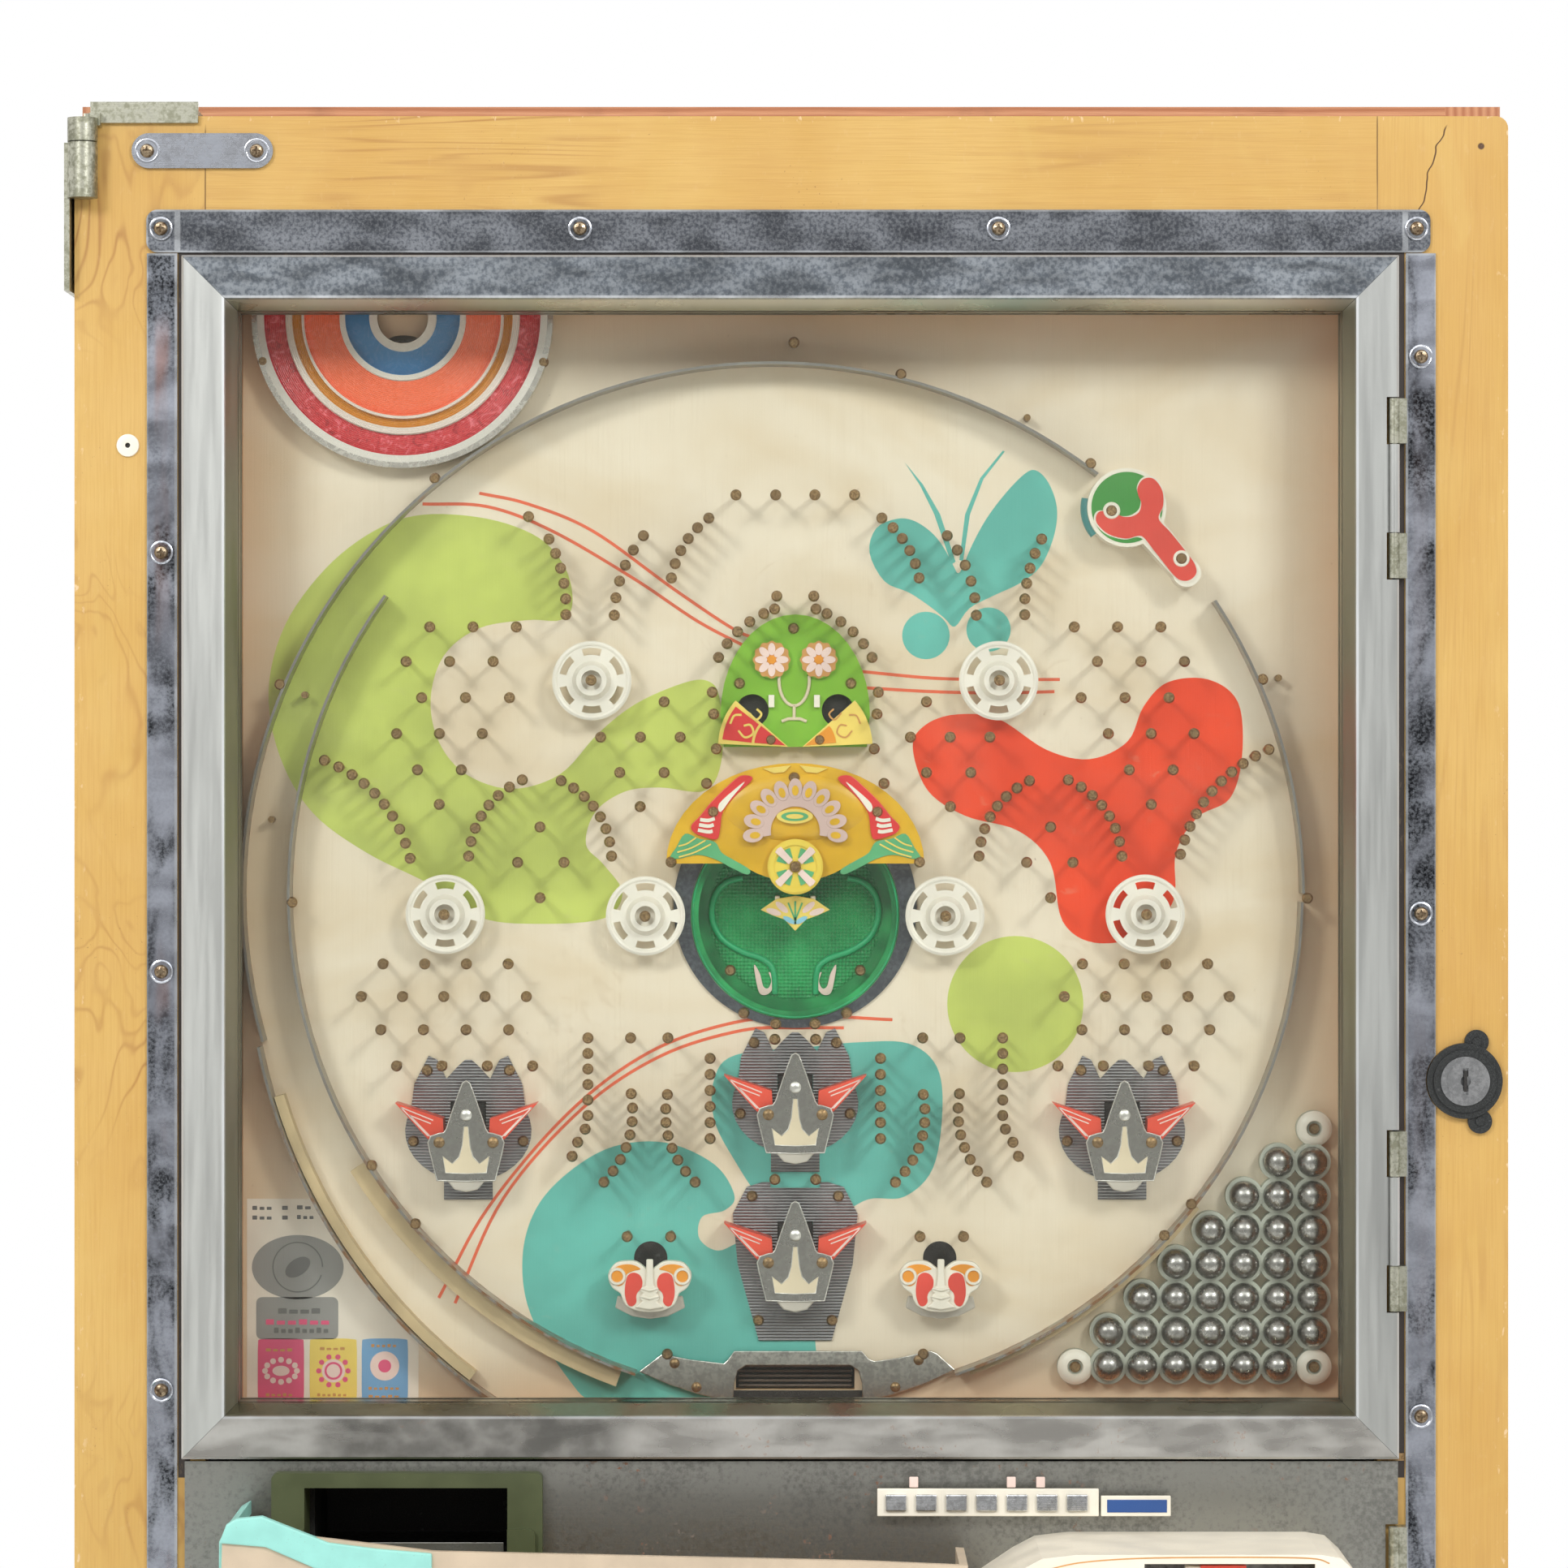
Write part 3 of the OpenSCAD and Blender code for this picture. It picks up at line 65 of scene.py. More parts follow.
class Graph:
    """A procedural material whose coordinates are millimetres in the row frame."""

    def __init__(self, name):
        self.mat = bpy.data.materials.new(name)
        self.mat.use_nodes = True
        self.tree = self.mat.node_tree
        self.tree.nodes.clear()
        self.p = self.vec("SCALE", self.add("TexCoord").outputs["Object"], scale=1000)
        split = self.add("SeparateXYZ")
        self.join(self.p, split.inputs[0])
        self.x, self.y, self.z = split.outputs

    def add(self, kind, **settings):
        node = self.tree.nodes.new("ShaderNode" + kind)
        for key, value in settings.items():
            setattr(node, key, value)
        return node

    def join(self, value, socket):
        if isinstance(value, bpy.types.NodeSocket):
            self.tree.links.new(value, socket)
        elif socket.type == "RGBA" and len(value) == 3:
            socket.default_value = (*value, 1)
        else:
            socket.default_value = value

    def vec(self, op, a, b=None, scale=None):
        node = self.add("VectorMath", operation=op)
        self.join(a, node.inputs[0])
        if b is not None:
            self.join(b, node.inputs[1])
        if scale is not None:
            node.inputs["Scale"].default_value = scale
        return node.outputs[0]

    def math(self, op, *values):
        node = self.add("Math", operation=op)
        for value, socket in zip(values, node.inputs):
            self.join(value, socket)
        return node.outputs[0]

    def ease(self, value, lo, hi, out_lo=0, out_hi=1):
        """Goes from out_lo at lo to out_hi at hi, smoothly."""
        node = self.add("MapRange", interpolation_type="SMOOTHSTEP")
        for v, socket in zip((value, lo, hi, out_lo, out_hi), node.inputs):
            self.join(v, socket)
        return node.outputs[0]

    def band(self, value, lo, hi, soft=0.3):
        """1 between lo and hi, 0 outside."""
        return self.mul(self.ease(value, lo - soft, lo + soft), self.ease(value, hi - soft, hi + soft, 1, 0))

    def mul(self, *values):
        out = values[0]
        for value in values[1:]:
            out = self.math("MULTIPLY", out, value)
        return out

    def sub(self, a, b):
        return self.math("SUBTRACT", a, b)

    def top(self, a, b):
        return self.math("MAXIMUM", a, b)

    def abs(self, value):
        return self.math("ABSOLUTE", value)

    def fma(self, value, by, plus):
        """value * by + plus."""
        return self.math("MULTIPLY_ADD", value, by, plus)

    def wave(self, value, rate):
        """A sine between 0 and 1."""
        return self.fma(self.math("SINE", self.mul(value, rate)), 0.5, 0.5)

    def away(self, x, z):
        """Distance from a point of the X-Z plane."""
        dx, dz = self.sub(self.x, x), self.sub(self.z, z)
        return self.math("SQRT", self.math("ADD", self.mul(dx, dx), self.mul(dz, dz)))

    def noise(self, size, detail=2, rough=0.5, warp=0):
        """Smooth noise; size is one length, or three for a stretched grain."""
        sizes = size if isinstance(size, tuple) else (size,) * 3
        node = self.add("TexNoise")
        settings = {"Vector": self.vec("DIVIDE", self.p, sizes), "Scale": 1, "Detail": detail, "Roughness": rough,
            "Distortion": warp}
        for key, value in settings.items():
            self.join(value, node.inputs[key])
        return node.outputs["Fac"]

    def mix(self, fac, a, b):
        node = self.add("Mix", data_type="RGBA")
        for v, socket in zip((fac, a, b), (node.inputs[0], node.inputs[6], node.inputs[7])):
            self.join(v, socket)
        return node.outputs[2]

    def shades(self, value, stops, steps="LINEAR"):
        """Colours along a value from (place, colour) pairs; CONSTANT steps are hard."""
        node = self.add("ValToRGB")
        ramp = node.color_ramp
        ramp.interpolation = steps
        while len(ramp.elements) < len(stops):
            ramp.elements.new(1)
        for element, (place, colour) in zip(ramp.elements, stops):
            element.position = place
            element.color = (*colour, 1)
        self.join(value, node.inputs[0])
        return node.outputs[0]

    def bump(self, height, depth):
        node = self.add("Bump")
        node.inputs["Strength"].default_value = 1
        node.inputs["Distance"].default_value = depth * MM
        self.join(height, node.inputs["Height"])
        return node.outputs[0]

    def finish(self, shader):
        self.join(shader.outputs[0], self.add("OutputMaterial").inputs[0])
        return self.mat

    def surface(self, colour, metal, rough, normal=None, **more):
        node = self.add("BsdfPrincipled")
        pairs = {"Base Color": colour, "Metallic": metal, "Roughness": rough, **more}
        if normal is not None:
            pairs["Normal"] = normal
        for key, value in pairs.items():
            self.join(value, node.inputs[key.replace("_", " ")])
        return self.finish(node)


def wood_door():
    """Yellow lacquered boards: the rails' grain runs sideways, the stiles' upwards."""
    g = Graph("door_lacquer")
    across = g.abs(g.x)
    level = g.mul(g.band(across, -1, 212.5, 0.1), g.top(g.ease(g.z, 745.8, 746), g.ease(g.z, 38, 38.2, 1, 0)))
    left = g.ease(g.x, -60, -50, 1, 0)
    curly = g.noise((34, 40, 60), 2.5, 0.45, 0.5)
    plain = g.noise((26, 40, 420), 2, 0.5, 0.35)
    rail = g.noise((420, 40, 22), 2.5, 0.5, 0.5)
    rings = g.mix(level, g.mix(left, plain, curly), rail)
    lines = g.math("POWER", g.wave(rings, 82), 7)
    strength = g.mul(g.ease(g.noise(70, 2), 0.4, 0.7), g.fma(left, 0.5, 0.28))
    fibre_up = g.noise((0.55, 3, 26), 3, 0.6)
    fibre_across = g.noise((26, 3, 0.55), 3, 0.6)
    fibre = g.mix(level, fibre_up, fibre_across)
    tone = g.mix(g.ease(g.noise((60, 60, 110), 3), 0.3, 0.75), rgb(199, 157, 83), rgb(209, 172, 99))
    tone = g.mix(g.mul(lines, strength), tone, rgb(158, 108, 52))
    tone = g.mix(g.mul(g.ease(fibre, 0.35, 0.75), 0.35), tone, rgb(186, 140, 72))
    patch = g.mul(g.ease(g.noise((45, 45, 90), 3, 0.6, 1), 0.58, 0.72), 0.35)
    tone = g.mix(patch, tone, rgb(206, 172, 98))
    # Darker seams where rail and stile meet, and the split at the upper right
    seam = g.mul(g.band(across, 212.35, 212.75, 0.15), g.ease(g.noise((3, 3, 24), 1), 0.36, 0.5), g.ease(g.z, 746,
        747))
    wander = g.fma(g.noise((60, 60, 16), 2), 16, 220)
    wander = g.math("ADD", wander, g.mul(g.sub(g.z, 770), 0.25))
    split = g.mul(g.band(g.sub(g.x, wander), -0.22, 0.22, 0.12), g.ease(g.x, 40, 50), g.ease(g.z, 765, 768),
        g.ease(g.z, 799, 801, 1, 0))
    hole = g.ease(g.away(250.2, 792.9), 0.9, 1.4, 1, 0)
    marks = g.top(g.top(g.mul(seam, 0.75), split), hole)
    tone = g.mix(marks, tone, rgb(84, 54, 30))
    # The narrow gaps round the glass door are painted near black as painted shade
    gap = g.top(g.mul(g.ease(across, 222, 221.6), g.band(g.z, 751.5, 755.4, 0.1)), g.mul(g.band(across, 218, 222.4,
        0.2), g.band(g.z, 310, 755.2, 0.2)))
    tone = g.mix(gap, tone, rgb(50, 40, 34))
    # Scratches and knocks show pale raw wood near the outer edges
    edge = g.top(g.ease(across, 254, 259.5), g.ease(g.z, 800.5, 803.8))
    knock = g.mul(g.ease(g.noise((2.2, 2.2, 5), 3, 0.6), 0.62, 0.7), g.fma(edge, 0.85, 0.07))
    tone = g.mix(knock, tone, rgb(222, 192, 148))
    grime = g.mul(g.ease(g.noise(1.1, 2), 0.7, 0.75), g.ease(g.noise(40), 0.5, 0.65))
    tone = g.mix(g.mul(grime, 0.5), tone, rgb(120, 78, 44))
    rough = g.ease(g.noise(18, 4), 0.3, 0.7, 0.34, 0.5)
    relief = g.sub(g.mul(fibre, 0.25), g.mul(marks, 1))
    return g.surface(tone, 0, rough, g.bump(relief, 0.25), Coat_Weight=0.25, Coat_Roughness=0.25)


def wood_box():
    """Bare reddish timber with upright grain."""
    g = Graph("box_wood")
    rings = g.wave(g.noise((24, 24, 300), 3, 0.5, 0.6), 70)
    fibre = g.noise((0.6, 0.6, 22), 3, 0.6)
    value = g.fma(rings, 0.35, g.mul(fibre, 0.75))
    tone = g.shades(value, ((0.25, rgb(164, 98, 52)), (0.75, rgb(206, 138, 84))))
    return g.surface(tone, 0, g.ease(fibre, 0.3, 0.7, 0.5, 0.7), g.bump(fibre, 0.15))


def wood_outer():
    """Reddish plywood: its glued layers show on every front and end edge."""
    g = Graph("plywood_frame")
    upright = g.ease(g.abs(g.x), 239.9, 240.1)
    depth = g.mix(upright, g.z, g.x)
    layer = g.wave(g.math("ADD", depth, g.mul(g.noise(60), 2)), 2.1)
    fibre = g.mix(upright, g.noise((30, 0.7, 0.7), 3, 0.6), g.noise((0.7, 0.7, 30), 3, 0.6))
    tone = g.mix(layer, rgb(178, 118, 84), rgb(214, 160, 122))
    tone = g.mix(g.mul(fibre, 0.55), tone, rgb(150, 92, 62))
    tone = g.mix(g.mul(g.ease(g.noise(26, 4), 0.5, 0.75), 0.4), tone, rgb(120, 78, 56))
    return g.surface(tone, 0, 0.62, g.bump(fibre, 0.3))


def metal(name, light, dark, rough=(0.18, 0.45), cloud=14, pits=0.35, brush=None, rust=0, mottle=1.6, spread=(0.4,
        0.6), relief=0.015):
    """Plated metal that has aged: fine mottling, broad dulling, pits, faint scratches and some rust."""
    g = Graph(name)
    clouds = g.noise(cloud, 2, 0.5, 0.2)
    fine = g.noise(mottle, 3, 0.6)
    grit = g.noise(0.55, 2, 0.6)
    worn = g.fma(clouds, 0.45, g.mul(fine, 0.55))
    tone = g.mix(g.ease(worn, *spread), light, dark)
    tone = g.mix(g.mul(g.ease(grit, 0.58, 0.7), pits), tone, dark)
    scratch = g.noise(brush or (40, 8, 0.25), 2, 0.5)
    tone = g.mix(g.mul(g.ease(scratch, 0.62, 0.72), 0.3), tone, light)
    roughness = g.ease(worn, 0.35, 0.65, *rough)
    metallic = 1
    if rust:
        spots = g.mul(g.ease(g.noise(3, 4, 0.65), 0.62, 0.68), g.ease(g.noise(38, 2), 0.5, 0.66))
        spots = g.mul(spots, rust)
        tone = g.mix(spots, tone, rgb(140, 84, 44))
        roughness = g.fma(spots, 0.4, roughness)
        metallic = g.fma(spots, -0.8, 1)
    return g.surface(tone, metallic, roughness, g.bump(g.math("ADD", grit, scratch), relief))


def plastic(name, colour, rough=0.32, shift=0.16, **more):
    """Moulded plastic: slight colour drift, dust in its low gloss and a fine skin."""
    g = Graph(name)
    drift = g.noise(16, 4)
    darker = tuple(c * (1 - shift) for c in colour)
    lighter = tuple(min(1, c * (1 + shift * 0.6)) for c in colour)
    tone = g.mix(g.ease(drift, 0.3, 0.7), darker, lighter)
    dust = g.mul(g.ease(g.noise(0.8, 2), 0.66, 0.74), g.ease(drift, 0.4, 0.6))
    tone = g.mix(g.mul(dust, 0.25), tone, rgb(120, 105, 85))
    skin = g.bump(g.noise(0.35, 2), 0.02)
    return g.surface(tone, 0, g.ease(drift, 0.3, 0.7, rough, rough + 0.14), skin, **more)


def glass():
    """Clear pane: straight through, with a faint mirror and some dust and wipe marks."""
    g = Graph("pane_glass")
    ratio = 1.2

    def shader(kind, **inputs):
        node = g.add(kind)
        for key, value in inputs.items():
            g.join(value, node.inputs[key])
        return node

    def blend(share, a, b):
        node = g.add("MixShader")
        for value, socket in zip((share, a.outputs[0], b.outputs[0]), node.inputs):
            g.join(value, socket)
        return node

    smear = g.ease(g.noise((120, 30, 60), 5, 0.6, 1.5), 0.5, 0.8)
    tint = g.mix(g.mul(smear, 0.5), (0.976, 0.98, 0.975), (0.962, 0.966, 0.952))
    mirror = shader("BsdfGlossy", Roughness=0.02, Color=(0.8, 0.82, 0.82))
    # Fresnel inverts its ratio on the far face, so the far face is given the inverse
    far = g.add("NewGeometry").outputs["Backfacing"]
    fresnel = shader("Fresnel", IOR=g.fma(far, 1 / ratio - ratio, ratio))
    pane = blend(fresnel.outputs[0], shader("BsdfTransparent", Color=tint), mirror)
    dust = shader("BsdfDiffuse", Color=rgb(225, 220, 205))
    return g.finish(blend(g.fma(smear, 0.016, 0.004), pane, dust))


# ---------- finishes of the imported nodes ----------

def glass_door_metal():
    """Plated strip: the level members are clouded, the uprights are a satin light grey."""
    g = Graph("glass_door_plating")
    # Distances in from the side edges and from the top and bottom edges
    half_wide, half_tall, centre_x, centre_z = 220.1, 217.65, -0.4, 535.15
    dx = g.sub(half_wide, g.abs(g.math("ADD", g.x, -centre_x)))
    dz = g.sub(half_tall, g.abs(g.sub(g.z, centre_z)))
    upright = g.ease(g.sub(dz, dx), -0.3, 0.3)
    inset = g.math("MINIMUM", dx, dz)
    clouds = g.noise((26, 26, 9), 2, 0.5, 0.3)
    grit = g.noise(1.5, 3, 0.62)
    mottled = g.ease(g.fma(clouds, 0.22, g.mul(grit, 0.78)), 0.38, 0.62)
    level_tone = g.mix(mottled, rgb(110, 117, 125), rgb(152, 158, 164))
    base = g.mix(g.ease(clouds, 0.35, 0.65), rgb(190, 187, 180), rgb(207, 205, 199))
    base = g.mix(g.mul(g.band(g.x, -168, -62, 9), g.ease(g.noise((12, 9, 9), 2), 0.3, 0.6, 0.5, 0.95)), base,
        rgb(134, 132, 126))
    level_tone = g.mix(g.ease(g.z, 380, 400, 0.9, 0), level_tone, base)
    soft = g.noise((3, 3, 60), 3)
    up_tone = g.mix(g.ease(g.x, -60, 60), g.mix(soft, rgb(182, 184, 181), rgb(205, 207, 203)), g.mix(soft,
        rgb(162, 164, 162), rgb(187, 189, 186)))
    tone = g.mix(upright, level_tone, up_tone)
    # Painted highlight: a light line along the outer edge and along the rim inside the lip
    edge = g.top(g.ease(inset, 0.9, 0.3), g.band(inset, 14.6, 15.6, 0.2))
    tone = g.mix(g.mul(edge, 0.6), tone, (0.8, 0.82, 0.84))
    lip = g.ease(inset, 15.7, 16.1)
    # The top run of the lip is painted lighter, painted light against the shade it sits in
    lip_tone = g.mix(g.ease(g.z, 733, 736.5), g.mix(soft, rgb(144, 141, 124), rgb(160, 157, 140)), rgb(200, 197, 188))
    tone = g.mix(lip, tone, lip_tone)
    seam = g.band(g.abs(g.sub(dx, dz)), -0.1, 0.12, 0.1)
    tone = g.mix(g.mul(seam, 0.7), tone, rgb(70, 74, 78))
    rust = g.mul(g.ease(g.noise(2.2, 4, 0.65), 0.6, 0.66), g.ease(g.noise(30, 2), 0.52, 0.62))
    rust = g.mul(rust, g.top(g.ease(inset, 19.5, 15.5, 1, 0), g.ease(g.z, 340, 318)))
    rust = g.mul(rust, g.ease(inset, 15.7, 16.1, 0.55, 0.12))
    tone = g.mix(rust, tone, rgb(150, 96, 52))
    scratch = g.noise((0.25, 6, 30), 2)
    rough = g.mix(upright, g.ease(clouds, 0.3, 0.7, 0.22, 0.42), g.ease(soft, 0.3, 0.7, 0.4, 0.5))
    return g.surface(tone, g.fma(rust, -0.9, 1), rough, g.bump(g.math("ADD", grit, scratch), 0.015))


def trim_metal():
    """Chromed strips: their sides run from bright to near black in painted reflection, with chips where the chrome has
    gone, peppered with pits.
    """
    g = Graph("trim_chrome")
    left = g.ease(g.x, -200, -214)
    side = g.top(g.ease(g.x, 200, 214), left)
    across = g.abs(g.x)
    clouds = g.noise((24, 24, 12), 2, 0.5, 0.3)
    grit = g.noise(1.3, 3, 0.65)
    pepper = g.ease(g.fma(clouds, 0.24, g.mul(grit, 0.76)), 0.39, 0.61)
    top = g.mix(pepper, rgb(96, 100, 108), rgb(144, 148, 154))
    # Painted reflection: the sides' patches run from near black to bright
    patch = g.ease(g.noise((16, 16, 34), 3, 0.55, 0.6), 0.36, 0.58)
    sides = g.mix(patch, rgb(44, 46, 50), rgb(168, 172, 184))
    sides = g.mix(g.mul(pepper, 0.45), sides, rgb(188, 194, 204))
    warm = g.mul(g.ease(g.noise((20, 20, 90), 2), 0.46, 0.6), g.fma(left, 0.6, 0.05), g.ease(g.z, 735, 715),
        g.band(across, 225.5, 230.5, 1.2))
    sides = g.mix(warm, sides, rgb(176, 134, 122))
    chips = g.mul(g.ease(grit, 0.4, 0.36), g.band(g.abs(g.math("ADD", g.x, 217.6)), -1, 1.4, 0.8))
    sides = g.mix(chips, sides, rgb(24, 24, 26))
    tone = g.mix(g.mul(side, g.ease(g.z, 754.2, 753.8)), top, sides)
    # Rolled edges catch the light
    rims = g.top(g.top(g.band(across, 233.2, 236, 0.25), g.band(across, 221.5, 223.6, 0.25)), g.top(g.ease(g.z, 768.8,
        769.3), g.band(g.z, 753.2, 754.9, 0.25)))
    tone = g.mix(g.mul(rims, 0.65), tone, rgb(206, 210, 214))
    rough = g.ease(clouds, 0.3, 0.7, 0.2, 0.36)
    return g.surface(tone, 1, rough, g.bump(grit, 0.02))


def board_paint():
    """Cream printed plywood: darker and yellower towards its edges, with faint grain and rubbed smudges."""
    g = Graph("board_cream")
    low = g.noise((90, 60, 50), 3, 0.55, 0.8)
    tone = g.mix(g.ease(low, 0.35, 0.7), rgb(241, 229, 206), rgb(231, 214, 184))
    wear = g.ease(g.noise((14, 14, 10), 4, 0.6, 1.4), 0.56, 0.74)
    near = g.ease(g.away(*PLAY), 186, 100, 0.15, 1)
    tone = g.mix(g.mul(g.mul(wear, near), 0.3), tone, rgb(208, 186, 154))
    edge = g.top(g.ease(g.abs(g.x), 165, 203), g.top(g.ease(g.z, 705, 738), g.ease(g.z, 362, 332)))
    tone = g.mix(g.mul(edge, 0.5), tone, rgb(205, 168, 122))
    fibre = g.noise((0.7, 3, 34), 3, 0.6)
    tone = g.mix(g.mul(g.ease(fibre, 0.45, 0.8), 0.12), tone, rgb(204, 180, 142))
    spot = g.mul(g.ease(g.noise(0.9, 2), 0.73, 0.77), g.ease(g.noise(25), 0.52, 0.6))
    tone = g.mix(g.mul(spot, 0.6), tone, rgb(130, 96, 66))
    inside = g.ease(g.y, -30.8, -30.4)
    tone = g.mix(inside, tone, g.mix(fibre, rgb(196, 150, 100), rgb(222, 184, 134)))
    return g.surface(tone, 0, 0.42, g.bump(fibre, 0.05), Coat_Weight=0.2, Coat_Roughness=0.3)


def lens_rings():
    """Ringed lamp cover: each ring has its own translucent colour and fine turned grooves."""
    g = Graph("lamp_rings")
    r, reach = g.away(-143.5, 733.8), 56
    white = rgb(232, 226, 214)
    rings = ((0, rgb(120, 100, 74)), (9.4, white), (12.4, rgb(70, 132, 184)), (21.1, white), (23.2, rgb(255, 112, 68)),
        (36.1, white), (37.3, rgb(212, 142, 18)), (40.6, white), (43.1, rgb(206, 22, 52)), (50.9, rgb(226, 222, 212)))
    flat = g.shades(g.math("DIVIDE", r, reach), [(start / reach, colour) for start, colour in rings], "CONSTANT")
    groove = g.mul(g.wave(r, 9), g.band(r, 23.5, 50.5, 0.1))
    outer = g.band(r, 43.3, 50.5, 0.2)
    streaks = g.noise((5, 9, 5), 4, 0.6, 2)
    tone = g.mix(g.mul(groove, 0.22), flat, rgb(255, 170, 140))
    tone = g.mix(g.mul(g.ease(streaks, 0.56, 0.66), outer), tone, rgb(240, 120, 130))
    tone = g.mix(g.mul(g.mul(g.ease(streaks, 0.46, 0.36), outer), 0.5), tone, rgb(130, 8, 30))
    metallic = g.mul(g.ease(r, 53.4, 53.8), 0.8)
    return g.surface(tone, metallic, g.ease(streaks, 0.3, 0.7, 0.16, 0.34), g.bump(groove, 0.12), Coat_Weight=0.3)


def ribbed_plate():
    """Grey plated sheet pressed with level ribs."""
    g = Graph("ribbed_plate")
    ribs = g.wave(g.z, 5.6)
    clouds = g.noise(7, 4, 0.6, 0.5)
    # Painted light and shade: the colour is lighter and darker in turn along the ribs
    tone = g.mix(ribs, rgb(112, 112, 114), rgb(160, 160, 161))
    tone = g.mix(g.mul(g.ease(clouds, 0.5, 0.75), 0.4), tone, rgb(96, 96, 98))
    return g.surface(tone, 0.9, g.ease(clouds, 0.3, 0.7, 0.3, 0.48), g.bump(ribs, 0.18))


def dish_plastic():
    """Deep green see-through dish with a diamond-cut floor and a smooth edge band."""
    g = Graph("dish_green")
    r = g.away(PLAY.x, PLAY.y + DISH_Z)
    a = g.math("SINE", g.mul(g.math("ADD", g.x, g.z), 2.3))
    b = g.math("SINE", g.mul(g.sub(g.x, g.z), 2.3))
    cut = g.mul(g.fma(g.mul(a, b), 0.5, 0.5), g.ease(r, 32.5, 31, 0, 1))
    low = g.noise(18, 3)
    tone = g.mix(g.ease(low, 0.3, 0.7), rgb(20, 118, 66), rgb(48, 178, 102))
    tone = g.mix(g.mul(cut, 0.55), tone, rgb(60, 196, 118))
    # Painted shade: the dish is painted darker towards its top, where its recess shades it
    tone = g.mix(g.ease(g.z, 500, 545), tone, g.mix(0.45, tone, rgb(2, 40, 24)))
    return g.surface(tone, 0, 0.16, g.bump(cut, 0.6), Coat_Weight=0.6)


def nail_brass():
    """Dull brass, tinted brown in places."""
    g = Graph("nail_brass")
    grit = g.noise(0.6, 3)
    tone = g.mix(g.ease(grit, 0.3, 0.7), rgb(124, 96, 62), rgb(180, 150, 106))
    tint = g.noise(30, 2)
    tone = g.mix(g.mul(g.ease(tint, 0.4, 0.7), 0.4), tone, rgb(110, 92, 70))
    return g.surface(tone, 0.7, g.ease(grit, 0.3, 0.7, 0.28, 0.5), g.bump(grit, 0.05))


def rail_metal():
    """Guide rails: grey spring steel with a line of rust where it meets the board."""
    g = Graph("rail_steel")
    along = g.noise((16, 0.8, 16), 3, 0.6)
    tone = g.mix(along, rgb(136, 132, 126), rgb(188, 186, 180))
    rust = g.mul(g.ease(g.noise(2.5, 4), 0.48, 0.6), g.ease(g.y, -36.5, -32.5))
    rust = g.top(rust, g.mul(g.ease(g.z, 470, 400), g.ease(g.noise(5, 4), 0.42, 0.6)))
    tone = g.mix(rust, tone, rgb(134, 96, 62))
    return g.surface(tone, g.fma(rust, -0.8, 0.95), 0.34, g.bump(along, 0.03))


def dark_cast(name, colour, rough):
    """Dark enamel, or near-black painted shade for openings, with a few pale worn spots."""
    g = Graph(name)
    grain = g.noise(0.5, 3)
    tone = g.mix(g.ease(grain, 0.4, 0.7), colour, tuple(c * 1.8 + 0.01 for c in colour))
    worn = g.ease(g.noise(5, 4), 0.66, 0.72)
    tone = g.mix(g.mul(worn, 0.2), tone, rgb(150, 150, 150))
    return g.surface(tone, 0, rough, g.bump(grain, 0.1))


finish = {}


def use(key, make, *args, **kwargs):
    finish[key] = make(*args, **kwargs)


use("door", wood_door)
use("outer", wood_outer)
use("box", wood_box)
use("board", board_paint)
use("zinc", metal, "hinge_zinc", rgb(196, 196, 180), rgb(140, 140, 122), (0.28, 0.5), 7, 0.4)
use("plate", metal, "plate_chrome", rgb(204, 208, 216), rgb(160, 164, 172), (0.16, 0.36), 9, 0.35)
use("trim", trim_metal)
use("screw", metal, "screw_brass", rgb(176, 158, 132), rgb(104, 86, 66), (0.25, 0.5), 2, 0.5)
use("escutcheon", dark_cast, "black_enamel", rgb(34, 36, 36), 0.3)
use("chrome", metal, "bright_chrome", rgb(216, 218, 220), rgb(170, 172, 174), (0.1, 0.26), 6, 0.25)
use("rails", rail_metal)
use("ledge", plastic, "ledge_beige", rgb(206, 184, 142), 0.4)
use("nails", nail_brass)
use("lens", lens_rings)
use("cream", plastic, "cream_moulding", rgb(240, 235, 222), 0.3, 0.06)
use("white", plastic, "white_moulding", rgb(238, 232, 216), 0.34, 0.06)
use("red", plastic, "red_moulding", rgb(232, 84, 62), 0.3, 0.12)
use("green", plastic, "green_moulding", rgb(136, 192, 54), 0.3, 0.14, Subsurface_Weight=0.1)
use("yellow", plastic, "yellow_moulding", rgb(224, 176, 32), 0.28, 0.14)
use("paleyellow", plastic, "pale_yellow_moulding", rgb(240, 214, 84), 0.3, 0.08)
use("dish", dish_plastic)
use("grey", metal, "plate_grey", rgb(122, 128, 134), rgb(92, 96, 102), (0.3, 0.45), 10, 0.3)
use("ribbed", ribbed_plate)
use("tulip", metal, "tulip_steel", rgb(190, 188, 182), rgb(154, 152, 147), (0.24, 0.36), 9, 0.03, mottle=3,
    spread=(0.3, 0.7), relief=0.004)
# A lighter copy of the tulip steel: painted highlight for the tulip edges, and the rivets wear it too
use("edge", metal, "tulip_edge", rgb(236, 234, 228), rgb(206, 204, 198), (0.3, 0.42), 6, 0.1)
use("outhole", metal, "out_hole_steel", rgb(206, 204, 196), rgb(160, 158, 152), (0.28, 0.45), 5, 0.35, rust=0.4)
use("rack", plastic, "rack_grey", rgb(188, 192, 178), 0.3, 0.1)
use("balls", metal, "ball_steel", rgb(186, 184, 180), rgb(150, 148, 144), (0.24, 0.36), 6, 0.2)
use("glassdoor", glass_door_metal)
use("panes", glass)
use("panel", metal, "panel_steel", rgb(158, 158, 152), rgb(122, 122, 118), (0.32, 0.46), 60, 0.2, (50, 8, 0.3),
    rust=0.8, spread=(0.42, 0.66))
